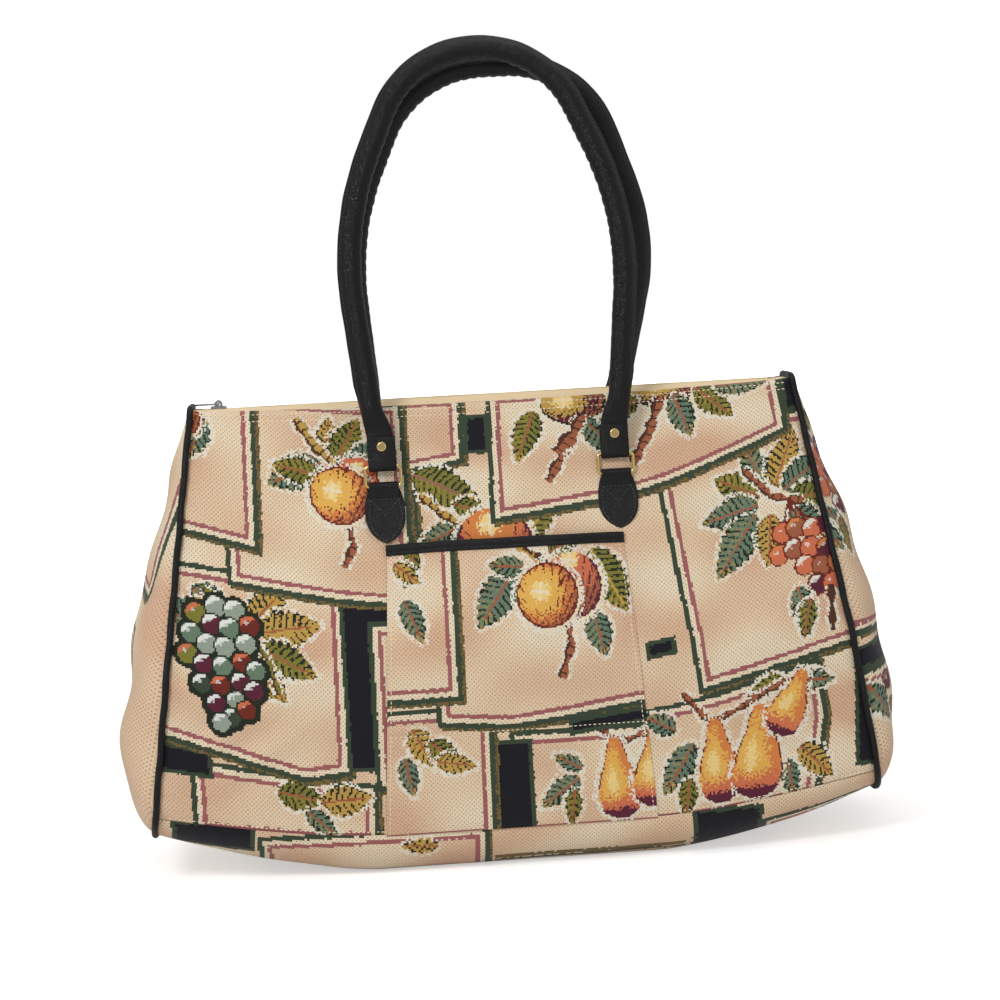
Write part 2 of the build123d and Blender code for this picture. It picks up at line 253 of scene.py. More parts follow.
def ripple(u, v, size, seed):
    """Smooth waves of about one unit for soft cloth, the same every run."""
    rng = np.random.default_rng(seed)
    total = np.zeros_like(u)
    for _ in range(7):
        angle, phase = rng.uniform(0, math.pi), rng.uniform(0, 2 * math.pi)
        pitch = size * rng.uniform(0.7, 1.6)
        total += np.sin(2 * math.pi * (u * math.cos(angle) + v * math.sin(angle)) / pitch + phase)
    return total / 3.0


def smooth(value, low, high):
    """Smooth step from 0 to 1 between two values."""
    s = np.clip((value - low) / (high - low), 0, 1)
    return s * s * (3 - 2 * s)


def face_grid(side, columns, rows):
    """Grid of points on one face, from base seam to zipper, and how far up the cloth each one is."""
    grid = np.zeros((columns, rows, 3))
    climb = np.zeros((columns, rows))
    for i, t in enumerate(np.linspace(-1, 1, columns)):
        line = rib(t, side)
        low, top = seam_length(line), top_length(line)
        grid[i] = cut(line, low, top, rows)
        climb[i] = np.linspace(0, top - low, rows)
    return grid, climb


def grid_normals(grid):
    """Unit normals of a grid of points."""
    du = np.gradient(grid, axis=0)
    dv = np.gradient(grid, axis=1)
    normal = np.cross(du, dv)
    return normal / np.maximum(np.linalg.norm(normal, axis=2), 1e-9)[:, :, None]


def soften(grid, side, seed, amount):
    """Soft swells, folds by the tabs and small puckers along the seams of a face."""
    x, z = grid[:, :, 0], grid[:, :, 2]
    edge = np.minimum(seam_x(z) - abs(x), z - seam_z(x))
    inside = smooth(edge, 0, 46) * smooth(TOP_Z - z, 2, 36)
    swell = 1.5 * ripple(x, z, 150, seed) + 0.8 * ripple(x, z, 64, seed + 1)
    for tab_x in (-TAB_X, TAB_X):
        near = np.exp(-((x - tab_x) / 30) ** 2) * smooth(z, 110, 235) * (1 - smooth(z, 290, 322))
        swell = swell + 1.0 * near * np.cos((x - tab_x) / 8.0)
    low_corner = np.exp(-(((abs(x) - 200) / 46) ** 2) - ((z - 92) / 44) ** 2)
    swell = swell + 1.6 * low_corner * np.sin((abs(x) + 1.7 * z) / 8.5)
    reach = np.maximum(edge, 0)
    pucker = 0.45 * np.sin((x + z) / 2.6) * np.exp(-reach / 8) * smooth(edge, 0, 3)
    tuck = -1.5 * np.exp(-reach / 4.0) * smooth(TOP_Z - z, 0, 10)
    relief = np.maximum(amount * swell * inside + pucker + tuck, -1.9)
    normal = grid_normals(grid)
    normal = normal * np.sign(np.sum(normal * [0, side, 0.3], axis=2))[:, :, None]
    moved = grid + normal * relief[:, :, None]
    moved[:, :, 2] -= edge_dip(x) * smooth(z, 262, TOP_Z)
    return moved


def edge_dip(x):
    """How far the top edges sink below the zipper along the bag, in millimetres."""
    return EDGE_SINK * np.cos(np.clip(x / SEAM_HALF_TOP, -1, 1) * math.pi / 2) ** 0.7


# ---------------------------------------------------------------- the woven print

class Weave:
    """Colours of woven cells at places on the cloth, laid one shape over another."""

    def __init__(self, u, v, seed, look):
        self.speck = np.random.default_rng(seed).random(u.shape)
        self.base, self.rose, self.green = (np.array(colour) for colour in look)
        wobble = 0.3
        self.u = u + wobble * ripple(u, v, 5.0, seed + 1)
        self.v = v + wobble * ripple(u, v, 5.0, seed + 2)
        self.rgb = np.empty(u.shape + (3,))
        self.rgb[:] = NAVY
        self.plain = np.zeros(u.shape)
        self.cloud = ripple(u, v, 70.0, seed + 3)

    def lay(self, mask, colour, plain=0.0):
        """Put one colour on the cells of a mask; plain 1 lets the pin dots show."""
        self.rgb[mask] = colour
        self.plain[mask] = plain

    def ground(self, mask):
        """The cream ground, pinker and lighter in soft clouds."""
        warm = np.clip(self.cloud, -1, 1)[mask][:, None]
        light, pink = np.array(LIGHT), np.array(PINKER)
        lighter = self.base + (light - self.base) * warm
        pinker = self.base + (self.base - pink) * warm
        self.rgb[mask] = np.where(warm > 0, lighter, pinker)
        self.plain[mask] = 1.0

    def inside(self, points):
        """Distance inwards from the edge of a convex outline, in millimetres."""
        depth = np.full(self.u.shape, np.inf)
        for i, (x0, y0) in enumerate(points):
            x1, y1 = points[(i + 1) % len(points)]
            length = math.hypot(x1 - x0, y1 - y0)
            depth = np.minimum(depth, ((x1 - x0) * (self.v - y0) - (y1 - y0) * (self.u - x0)) / length)
        return depth

    def card(self, points):
        """One pane: a green border, a cream margin, a rose line, and its shadow to the lower right."""
        shadow = self.inside([(x + 2.6, y - 2.6) for x, y in points])
        self.lay((shadow > 0) & (self.speck > 0.3), OLIVE_EDGE)
        self.lay((shadow > 0) & (self.speck <= 0.3), self.green)
        depth = self.inside(points)
        self.lay(depth > 0, self.green)
        self.lay(depth > 3.6, LIGHT, 1.0)
        self.lay(depth > 7.0, self.rose)
        self.ground(depth > 10.0)

    def local(self, x, y, angle):
        """Coordinates about a point, the first along an angle in degrees."""
        c, s = math.cos(math.radians(angle)), math.sin(math.radians(angle))
        du, dv = self.u - x, self.v - y
        return du * c + dv * s, dv * c - du * s

    def halo(self, mask):
        """Pale flecks round a shape."""
        self.lay(mask & (self.speck < 0.6), HALO)

    def leaf(self, x, y, angle, length, width, light=SAGE, dark=DARK_LEAF, vein=BARK):
        """A leaf from its stalk, with toothed edges, a lit side and dark strokes between its veins."""
        a, b = self.local(x, y, angle)
        at = np.clip(a / length, 0, 1)
        shape = np.sin(math.pi * at ** 0.75) ** 0.8 * width / 2
        teeth = 1 + 0.1 * np.sin(at * length * 1.1)
        near = (a > -2.5) & (a < length + 2.5)
        self.halo(near & (abs(b) < shape + 3.4))
        body = (a > 0) & (a < length) & (abs(b) < shape * teeth)
        self.lay(body, light)
        share = abs(b) / np.maximum(shape, 0.01)
        stroke = np.mod(at * length / 4.6 - share * 1.15 + self.speck * 0.22, 1.0)
        upper = b > 0
        self.lay(body & upper & (stroke < 0.36) & (share > 0.12), dark)
        self.lay(body & ~upper & (stroke < 0.24) & (share > 0.2), dark)
        self.lay(body & (at + 0.35 * self.speck > 1.02) & (stroke > 0.5), GOLD)
        self.lay(body & (share > 0.86) & (self.speck < 0.5), dark)
        under = body & ~upper & (stroke > 0.5) & (stroke < 0.74)
        self.lay(under, tuple(0.62 * np.array(light) + 0.38 * np.array(GOLD)))
        self.lay(body & (abs(b) < 0.75) & (at < 0.86), vein)

    def branch(self, points, width, light=BARK, dark=DARK_BARK):
        """A knotted branch through a few points."""
        for (x0, y0), (x1, y1) in zip(points, points[1:]):
            length = math.hypot(x1 - x0, y1 - y0)
            a, b = self.local(x0, y0, math.degrees(math.atan2(y1 - y0, x1 - x0)))
            on = (a > -width / 2) & (a < length + width / 2)
            bulge = width / 2 * (1 + 0.3 * np.sin(a / 2.6))
            self.halo(on & (abs(b) < bulge + 2.6))
            self.lay(on & (abs(b) < bulge), light)
            self.lay(on & (abs(b) < bulge) & (b < -bulge * 0.35), dark)
            self.lay(on & (abs(b) < bulge) & (np.mod(a / 6.5, 1) < 0.2), dark)

    def apple(
        self, x, y, half_w, half_h, tilt=0.0, lit=YELLOW, mid=ORANGE, dark=RED_BROWN, glow=(-0.3, 0.15),
    ):
        """A round fruit with a lit spot, hatching that follows its form, and a dark rim."""
        a, b = self.local(x, y, tilt)
        p, q = a / half_w, b / half_h
        r = np.hypot(p, q)
        self.halo(r < 1 + 4.5 / half_w)
        body = r < 1
        toward = np.hypot(p - glow[0], q - glow[1])
        self.lay(body, mid)
        self.lay(body & (toward + 0.3 * self.speck < 0.9), lit)
        self.lay(body & (toward + 0.2 * self.speck < 0.42), PALE_YELLOW)
        self.lay(body & (toward < 0.3) & ((abs(p - glow[0]) < 0.035) | (abs(q - glow[1]) < 0.04)), LIGHT)
        self.lay(body & (toward + 0.4 * self.speck > 1.2), BARK)
        turn = np.arctan2(p + 0.25 * q, q + 1.3)
        strokes = np.mod(turn * 8.0 + 0.15 * self.speck, 1.0)
        broken = np.mod(np.hypot(p, q + 1.3) * 2.6 + np.floor(turn * 8.0) * 0.37, 1.0) < 0.72
        shade = strokes < 0.1 + 0.42 * np.clip(toward - 0.5, 0, 1)
        self.lay(body & shade & broken & (toward > 0.5), dark)
        self.lay(body & (r > 0.93) & (toward > 0.7), dark)
        edge = (r > 0.99) & (r < 1 + 1.6 / half_w) & (p > -0.1) & (q < 0.55)
        self.lay(edge, LIGHT)

    def pear(self, x, y, half_w, height, tilt=0.0):
        """A pear: narrow at its stalk, stippled from a lit shoulder to a plum foot."""
        a, b = self.local(x, y, tilt)
        q = b / height
        heights = [-0.5, -0.42, -0.2, 0.02, 0.22, 0.4, 0.5]
        widths = [0.3, 0.78, 1.0, 0.84, 0.52, 0.38, 0.2]
        wide = np.interp(q, heights, widths) * half_w
        near = abs(q) < 0.5 + 3.4 / height
        self.halo(near & (abs(a) < wide + 4))
        body = (abs(q) < 0.5) & (abs(a) < wide)
        p = a / np.maximum(wide, 0.1)
        glow = np.hypot(p + 0.3, (q + 0.02) * 1.9)
        self.lay(body, ORANGE)
        self.lay(body & (glow + 0.5 * self.speck < 1.0), YELLOW)
        self.lay(body & (glow + 0.25 * self.speck < 0.42), PALE_YELLOW)
        low = q < -0.3 + 0.16 * self.speck
        self.lay(body & low & (self.speck < 0.85), CORAL)
        self.lay(body & ((q < -0.41 + 0.07 * self.speck) | (p > 0.93 + 0.05 * self.speck)), PLUM)
        self.lay(body & (abs(p) > 0.93) & (q > -0.1), RED_BROWN)

    def berry(self, x, y, r, base, rim=DARK_LEAF, crescent=None):
        """A round berry with a dark rim and a pale crescent where it has one."""
        a, b = self.u - x, self.v - y
        d = np.hypot(a, b) / r
        self.lay(d < 1.08, rim)
        self.lay(d < 0.92, base)
        if crescent is not None:
            turn = (d > 0.48) & (d < 0.88) & (b - 0.55 * a > 0.42 * r)
            self.lay(turn, crescent)
        spot = np.hypot(a + 0.25 * r, b - 0.25 * r) < 0.2 * r
        self.lay(spot & (self.speck < 0.8), tuple(0.5 + 0.5 * np.array(base)))

    def at(self, dx, dz):
        """The same cloth seen from a moved origin, so a motif can be laid again elsewhere."""
        moved = Weave.__new__(Weave)
        moved.__dict__.update(self.__dict__)
        moved.u = self.u - dx
        moved.v = self.v - dz
        return moved

    def block(self, points):
        """A plain dark block with a green edge."""
        depth = self.inside(points)
        self.lay(depth > 0, self.green)
        self.lay(depth > 3.2, NAVY)

    def line(self, x0, y0, x1, y1, width, colour):
        """A straight woven line."""
        length = math.hypot(x1 - x0, y1 - y0)
        a, b = self.local(x0, y0, math.degrees(math.atan2(y1 - y0, x1 - x0)))
        self.lay((a > 0) & (a < length) & (abs(b) < width / 2), colour)


def apple_motif(w):
    """A large apple with its twig, toothed leaves and lobe."""
    w.leaf(-126, 296, 208, 44, 27, SAGE)
    w.leaf(-128, 286, 172, 34, 20, OLIVE)
    w.leaf(-122, 306, 84, 26, 15, GOLD)
    w.leaf(-116, 298, 62, 38, 22, OLIVE)
    w.leaf(-106, 298, 22, 34, 19, SAGE)
    w.leaf(-98, 262, -42, 24, 14, SAGE)
    w.branch([(-141, 326), (-131, 309), (-116, 294)], 6.5, GOLD)
    w.branch([(-109, 254), (-107, 234), (-113, 221)], 5.0)
    w.apple(-103, 283, 17, 18, 0, CORAL, CORAL, RED_BROWN, (0.1, 0.5))
    w.apple(-114, 271, 21.5, 22.0, -12, glow=(-0.28, 0.12))
    w.line(-107, 294, -112, 286, 1.6, RED_BROWN)


def grape_motif(w):
    """A hanging bunch of grapes with vine leaves."""
    w.leaf(-222, 196, -35, 34, 22, SAGE)
    w.leaf(-236, 172, 40, 26, 18, SAGE)
    w.leaf(-182, 173, 48, 38, 24, GOLD)
    w.leaf(-176, 168, 12, 44, 26, GOLD)
    w.leaf(-178, 158, -24, 44, 24, OLIVE)
    w.leaf(-182, 146, -48, 34, 18, GOLD)
    w.branch([(-214, 196), (-196, 184), (-181, 168), (-172, 150), (-165, 128)], 3.6, OLIVE)
    places = [
        (-206, 184), (-193, 182), (-220, 178), (-183, 172), (-209, 171), (-197, 169), (-224, 164),
        (-186, 159), (-213, 157), (-201, 156), (-227, 149), (-189, 146), (-216, 143), (-203, 142),
        (-180, 141), (-191, 132), (-218, 129), (-205, 129), (-195, 119), (-182, 127), (-209, 116),
        (-199, 107), (-188, 113), (-206, 103),
    ]
    tones = [GREY_GREEN, SAGE, OLIVE, GREY_GREEN, PLUM, GREY_GREEN, SAGE, RED_BROWN]
    for x, y in places:
        w.berry(x, y, 9.6, DARK_LEAF)
    for i, (x, y) in enumerate(places):
        tone = tones[(i * 5) % 8] if y > 135 else [PLUM, GREEN, RED_BROWN, GREY_GREEN, PLUM][i % 5]
        pale = CRESCENT if tone not in (RED_BROWN, OLIVE) else CORAL
        w.berry(x, y, 7.8 - 0.012 * (184 - y), tone, DARK_LEAF, pale)


def cherry_motif(w):
    """Cherries hanging under a burst of leaves."""
    leaves = [
        (190, 244, 108, 36, 17, SAGE), (186, 242, 150, 34, 18, OLIVE), (197, 246, 66, 38, 18, GOLD),
        (184, 236, 186, 38, 17, SAGE), (203, 243, 30, 36, 17, SAGE), (206, 236, -4, 34, 16, OLIVE),
        (181, 230, 232, 46, 20, SAGE), (192, 228, 262, 34, 15, GOLD), (206, 228, -38, 28, 14, SAGE),
    ]
    for x, y, angle, length, width, tone in leaves:
        w.leaf(x, y, angle, length * 1.12, width * 1.3, tone)
    w.branch([(176, 262), (194, 240), (214, 232)], 4.5)
    for x, y in [(206, 226), (213, 212), (199, 213), (224, 206), (208, 200), (219, 193), (232, 199)]:
        w.line(206, 236, x, y, 1.3, RED_BROWN)
    for i, (x, y) in enumerate([
        (199, 212), (209, 214), (221, 211), (233, 213), (195, 197), (206, 199), (218, 198), (230, 196),
        (213, 186), (225, 183), (237, 184), (221, 171), (232, 170),
    ]):
        w.berry(x, y, 7.4, [CORAL, BARK, CORAL, PLUM][i % 4], RED_BROWN, [None, ORANGE, HALO][i % 3])
    w.leaf(206, 172, -80, 36, 17, SAGE)
    w.leaf(214, 162, -104, 28, 13, OLIVE)
    w.branch([(230, 166), (229, 138)], 4.5, DARK_BARK)


def pear_motif(w):
    """Two standing pears and a hanging one among leaves."""
    w.leaf(112, 88, 150, 26, 15, SAGE)
    w.leaf(124, 78, 236, 42, 20, SAGE)
    w.leaf(120, 54, 262, 28, 14, OLIVE)
    w.leaf(190, 112, 200, 28, 13, OLIVE)
    w.leaf(196, 108, -10, 32, 15, SAGE)
    w.leaf(200, 62, -50, 36, 18, GOLD)
    w.leaf(190, 54, -80, 30, 14, SAGE)
    w.branch([(119, 113), (132, 96), (142, 90)], 4.0)
    w.branch([(142, 92), (166, 100), (194, 110)], 4.0)
    w.pear(141, 63, 15.5, 60, 4)
    w.pear(170, 64, 18.5, 66, -4)
    w.pear(195, 93, 14.5, 46, -28)


def branch_motif(w):
    """Two bare twigs reaching up with leaves and a little fruit at the edge."""
    w.apple(57, 336, 24, 17, 0, GOLD, PLUM, DARK_LEAF)
    w.apple(126, 342, 28, 17, 0, GOLD, PLUM, DARK_LEAF)
    w.leaf(28, 332, -110, 44, 20, OLIVE)
    w.leaf(64, 322, -52, 40, 22, SAGE)
    w.leaf(130, 332, -74, 36, 19, SAGE)
    w.leaf(146, 334, -48, 38, 19, OLIVE)
    w.leaf(160, 332, -8, 42, 18, SAGE)
    w.leaf(104, 334, 206, 32, 16, OLIVE)
    w.branch([(60, 322), (50, 302), (36, 277)], 7.0)
    w.branch([(53, 309), (45, 300)], 10.0)
    w.branch([(119, 330), (109, 306), (97, 286)], 7.0)


def peach_motif(w):
    """Leaves at the edge of a pane whose fruit is out of sight."""
    w.leaf(-216, 326, -80, 34, 18, GOLD)
    w.leaf(-208, 318, -112, 32, 18, SAGE)
    w.leaf(-226, 304, 250, 28, 15, OLIVE)
    w.apple(-224, 318, 14, 15, 0, CORAL, ORANGE, RED_BROWN)


def front_print(w):
    """The front face's print, placed in millimetres along the bag and up from its base."""
    w.ground(w.u > -1e6)
    w.card([(130, 112), (270, 127), (270, 300), (107, 300)])
    cherry_motif(w)
    w.card([(60, 20), (228, 20), (222, 78), (230, 122), (60, 102)])
    pear_motif(w)
    w.block([(240, 38), (262, 34), (262, 112), (243, 112)])
    w.block([(94, 140), (116, 143), (115, 156), (93, 153)])
    w.card([(-92, 20), (-60, 20), (-60, 340), (-92, 340)])
    w.card([(-84, 285), (-24, 293), (-23, 350), (-84, 350)])
    w.block([(-24, 300), (-6, 300), (-5, 332), (-23, 332)])
    w.leaf(-62, 286, -28, 54, 28, OLIVE, DARK_LEAF, ROSE)
    w.leaf(-34, 262, -18, 26, 15, OLIVE)
    w.leaf(-30, 246, 205, 34, 18, SAGE)
    w.branch([(-56, 268), (-44, 256), (-26, 244)], 5.0, GOLD, DARK_BARK)
    w.leaf(16, 236, 52, 32, 20, OLIVE, DARK_LEAF, GOLD)
    w.apple(-7, 232, 27, 26, 0, ORANGE, CORAL, PLUM, (-0.1, 0.55))
    w.card([(-9, 246), (82, 257), (121, 264), (211, 285), (206, 350), (-6, 350)])
    branch_motif(w)
    w.block([(209, 297), (226, 300), (222, 340), (207, 340)])
    w.card([(-230, 22), (-100, 22), (-100, 66), (-230, 76)])
    w.leaf(-170, 58, -8, 34, 20, OLIVE)
    w.leaf(-140, 52, 8, 36, 22, GOLD)
    w.leaf(-150, 46, -40, 26, 14, SAGE)
    w.block([(-262, 66), (-214, 62), (-214, 82), (-262, 88)])
    w.card([(-266, 92), (-150, 66), (-117, 72), (-115, 206), (-266, 216)])
    grape_motif(w)
    w.block([(-120, 74), (-84, 74), (-84, 198), (-120, 198)])
    w.card([(-101, 60), (-50, 60), (-50, 180), (-101, 180)])
    w.card([(-197, 200), (-64, 188), (-66, 345), (-197, 345)])
    apple_motif(w)
    w.card([(-270, 241), (-173, 225), (-171, 350), (-270, 350)])
    peach_motif(w)


def pocket_print(w):
    """The pocket's print, cut from the same cloth."""
    w.ground(w.u > -1e6)
    w.card([(-6, 20), (124, 20), (124, 98), (-6, 98)])
    w.leaf(44, 68, 150, 22, 12, SAGE)
    w.leaf(42, 62, 214, 34, 17, SAGE)
    w.leaf(38, 54, 262, 26, 12, OLIVE)
    w.branch([(56, 99), (70, 84), (92, 92)], 4.0)
    w.pear(69, 60, 15.5, 58, 4)
    w.pear(95, 66, 15.0, 56, -4)
    w.block([(-18, 20), (10, 20), (10, 92), (-18, 92)])
    w.card([(-110, 20), (-18, 20), (-16, 118), (-110, 118)])
    w.leaf(-74, 104, -62, 32, 18, GOLD)
    w.leaf(-80, 84, -80, 28, 14, SAGE)
    w.leaf(-62, 94, -40, 30, 16, OLIVE)
    w.leaf(-58, 80, -10, 28, 14, GOLD)
    w.card([(-56, 104), (1, 99), (38, 104), (110, 112), (102, 250), (-60, 250)])
    w.block([(36, 92), (104, 100), (104, 112), (36, 104)])
    w.leaf(4, 211, 236, 48, 26, SAGE)
    w.leaf(12, 214, 176, 26, 15, SAGE)
    w.leaf(60, 224, -64, 52, 27, OLIVE, DARK_LEAF, GOLD)
    w.leaf(58, 180, -78, 34, 19, SAGE)
    w.leaf(30, 222, 30, 30, 16, OLIVE)
    w.branch([(6, 232), (18, 222), (30, 214)], 5.5, DARK_BARK, GOLD)
    w.branch([(40, 176), (41, 156), (34, 136)], 5.4)
    w.apple(45, 198, 21, 24, -8, CORAL, CORAL, PLUM, (-0.2, 0.75))
    w.apple(27, 192, 22.0, 23.5, -8, glow=(-0.25, 0.1))
    w.line(40, 206, 36, 198, 1.8, RED_BROWN)
    w.card([(-110, 122), (-37, 122), (-36, 260), (-110, 260)])
    w.leaf(-64, 232, 252, 30, 13, OLIVE)
    w.leaf(-74, 196, -70, 34, 16, SAGE)
    w.leaf(-80, 222, -40, 24, 12, GOLD)


def back_print(w):
    """The back's print: the same panes, laid in another order."""
    w.ground(w.u > -1e6)
    w.card([(-30, 20), (150, 12), (150, 120), (-30, 128)])
    pear_motif(w.at(-76, 0))
    w.card([(-262, 30), (-96, 22), (-92, 150), (-262, 160)])
    pear_motif(w.at(-330, 14))
    w.block([(-96, 40), (-62, 40), (-62, 150), (-96, 150)])
    w.card([(140, 40), (270, 50), (270, 190), (132, 180)])
    grape_motif(w.at(398, -18))
    w.card([(-262, 170), (-110, 160), (-104, 350), (-262, 350)])
    apple_motif(w.at(-72, 10))
    w.card([(-84, 136), (60, 142), (58, 292), (-84, 286)])
    cherry_motif(w.at(-206, 8))
    w.block([(58, 170), (88, 170), (88, 280), (58, 280)])
    w.card([(94, 192), (240, 198), (236, 350), (90, 350)])
    apple_motif(w.at(282, 6))
    w.card([(-60, 290), (84, 282), (84, 350), (-60, 350)])
    branch_motif(w.at(-44, 6))


def base_print(w):
    """The base's print, along the bag and on round it from the front seam."""
    w.ground(w.u > -1e6)
    w.block([(121, -4), (172, -4), (172, 34), (121, 34)])
    w.block([(-246, 26), (-188, 20), (-188, 44), (-246, 50)])
    w.card([(-186, -90), (-24, -90), (-24, 34), (-186, 34)])
    w.leaf(-60, 20, 178, 26, 12, GOLD)
    w.line(-20, 4, 116, 4, 5.0, OLIVE_EDGE)
    w.line(-20, -1, 116, -1, 3.0, GREEN)
    w.card([(172, -60), (262, -52), (262, 34), (172, 20)])
    w.leaf(214, 10, 30, 26, 12, SAGE)
    w.card([(-250, -200), (-90, -200), (-90, -100), (-250, -100)])
    w.card([(-60, -190), (110, -180), (110, -30), (-60, -34)])
    cherry_motif(w.at(-170, -314))
    w.card([(130, -200), (260, -200), (260, -76), (130, -82)])
    pear_motif(w.at(0, -196))


def right_print(w):
    """The right end's print, across the end from its front seam and up."""
    w.ground(w.u > -1e6)
    w.card([(-96, 150), (34, 138), (30, 345), (-96, 345)])
    cherry_motif(w.at(-252, 66))
    w.leaf(-62, 238, -70, 34, 16, SAGE)
    w.card([(-96, 20), (40, 40), (36, 128), (-96, 122)])
    w.leaf(-76, 112, -66, 34, 16, SAGE)
    w.leaf(-60, 96, -40, 28, 14, OLIVE)
    w.berry(-58, 110, 7, PLUM, DARK_LEAF, ROSE)
    w.block([(-96, 122), (-40, 124), (-40, 142), (-96, 140)])


def left_print(w):
    """The left end's print, across the end from its front seam and up."""
    w.ground(w.u > -1e6)
    w.card([(-40, -10), (96, 30), (96, 210), (-34, 176)])
    w.leaf(10, 140, 60, 40, 22, SAGE)
    w.apple(30, 110, 22, 23)
    w.card([(-40, 196), (96, 226), (96, 350), (-40, 350)])
    w.leaf(30, 260, 90, 36, 18, GOLD)
    w.leaf(60, 280, 60, 36, 18, SAGE)


# ---------------------------------------------------------------- meshes

def plain_mesh(name, points, faces, uv=None):
    """A mesh object at the origin from points in millimetres, with its place on the cloth as its UV map."""
    mesh = bpy.data.meshes.new(name)
    mesh.from_pydata((np.asarray(points) * MM).tolist(), [], faces)
    mesh.update()
    if uv is not None:
        layer = mesh.uv_layers.new(name="UVMap")
        layer.data.foreach_set("uv", (np.asarray(uv)[loop_points(mesh)] * MM).astype(np.float32).ravel())
    mesh.shade_smooth()
    obj = bpy.data.objects.new(name, mesh)
    bpy.context.scene.collection.objects.link(obj)
    return obj


def loop_points(mesh):
    """The point at each face corner of a mesh."""
    found = np.empty(len(mesh.loops), dtype=np.int64)
    mesh.loops.foreach_get("vertex_index", found)
    return found


def grid_faces(columns, rows, flip=False):
    """Quads of a grid whose points run row by row within each column."""
    faces = []
    for i in range(columns - 1):
        a, b = i * rows, (i + 1) * rows
        for j in range(rows - 1):
            quad = (a + j, b + j, b + j + 1, a + j + 1)
            faces.append(quad[::-1] if flip else quad)
    return faces


def printed(name, points, faces, uv, paint, seed):
    """A cloth piece with one woven cell of the print on each face, and the ground's mask in its alpha."""
    obj = plain_mesh(name, points, faces, uv)
    mesh = obj.data
    corners = loop_points(mesh)
    starts = np.empty(len(mesh.polygons), dtype=np.int64)
    counts = np.empty(len(mesh.polygons), dtype=np.int64)
    mesh.polygons.foreach_get("loop_start", starts)
    mesh.polygons.foreach_get("loop_total", counts)
    centre = np.add.reduceat(np.asarray(uv)[corners], starts, axis=0) / counts[:, None]
    cloth = bpy.context.scene.bag_cloth
    weave = Weave(centre[:, 0], centre[:, 1], seed, (cloth.ground, cloth.line, cloth.border))
    paint(weave)
    cells = np.concatenate([weave.rgb, weave.plain[:, None]], axis=1)
    layer = mesh.color_attributes.new("print", "FLOAT_COLOR", "CORNER")
    layer.data.foreach_set("color", np.repeat(cells, counts, axis=0).astype(np.float32).ravel())
    return obj


# ---------------------------------------------------------------- lines that are swept or stitched

def filleted(points, radii, spacing):
    """Evenly spaced points along a path whose inner corners are rounded, in millimetres."""
    points = [np.array(p, dtype=float) for p in points]
    line = [points[0]]
    for before, here, after, radius in zip(points, points[1:], points[2:], radii):
        back, on = before - here, after - here
        back, on = back / np.linalg.norm(back), on / np.linalg.norm(on)
        half = math.acos(float(np.clip(back @ on, -1, 1))) / 2
        middle = (back + on) / np.linalg.norm(back + on)
        centre = here + middle * radius / math.sin(half)
        first = here + back * radius / math.tan(half) - centre
        last = here + on * radius / math.tan(half) - centre
        turn = math.pi - 2 * half
        for share in np.linspace(0, 1, 40):
            a, b = math.sin((1 - share) * turn), math.sin(share * turn)
            line.append(centre + (first * a + last * b) / math.sin(turn))
    line.append(points[-1])
    line = np.array(line)
    lengths = lengths_of(line)
    return cut(line, 0, lengths[-1], max(2, int(lengths[-1] / spacing)))


def tube(line, section, closed=False):
    """Grid of points round a line; section(length, total, angles) gives offsets across and out.

    Out is measured away from the line's own plane centre, and across is along the plane's normal.
    """
    if closed:
        tangent = np.roll(line, -1, axis=0) - np.roll(line, 1, axis=0)
    else:
        tangent = np.gradient(line, axis=0)
    tangent /= np.linalg.norm(tangent, axis=1)[:, None]
    lengths = lengths_of(line)
    middle = line.mean(axis=0)
    plane = np.linalg.svd(line - middle)[2][2]
    plane = plane * (1 if plane[1] < 0 or abs(plane[1]) < 0.5 and plane[0] > 0 else -1)
    out = np.cross(tangent, plane)
    out /= np.linalg.norm(out, axis=1)[:, None]
    if np.sum(out * (line - middle)) < 0:
        out = -out
    near = np.array([-0.4, -0.26, -0.13, 0.0, 0.13, 0.26, 0.4])
    around = np.linspace(0.62, 2 * math.pi - 0.62, 23)
    angles = np.concatenate([near[3:], around, near[:3] + 2 * math.pi])
    grid = np.zeros((len(line), len(angles), 3))
    for i in range(len(line)):
        across, away = section(lengths[i], lengths[-1], angles)
        grid[i] = line[i] + plane * across[:, None] + out[i] * away[:, None]
    return grid


def tube_mesh(name, grid, closed=False):
    """A tube from its grid, capped at its ends where it has any."""
    columns, rows = grid.shape[:2]
    index = np.arange(columns * rows).reshape(columns, rows)
    faces = []
    for i in range(columns if closed else columns - 1):
        a, b = index[i].tolist(), index[(i + 1) % columns].tolist()
        faces += [(a[j], b[j], b[(j + 1) % rows], a[(j + 1) % rows]) for j in range(rows)]
    if not closed:
        faces += [tuple(index[0].tolist()), tuple(index[-1].tolist()[::-1])]
    return plain_mesh(name, grid.reshape(-1, 3), faces)


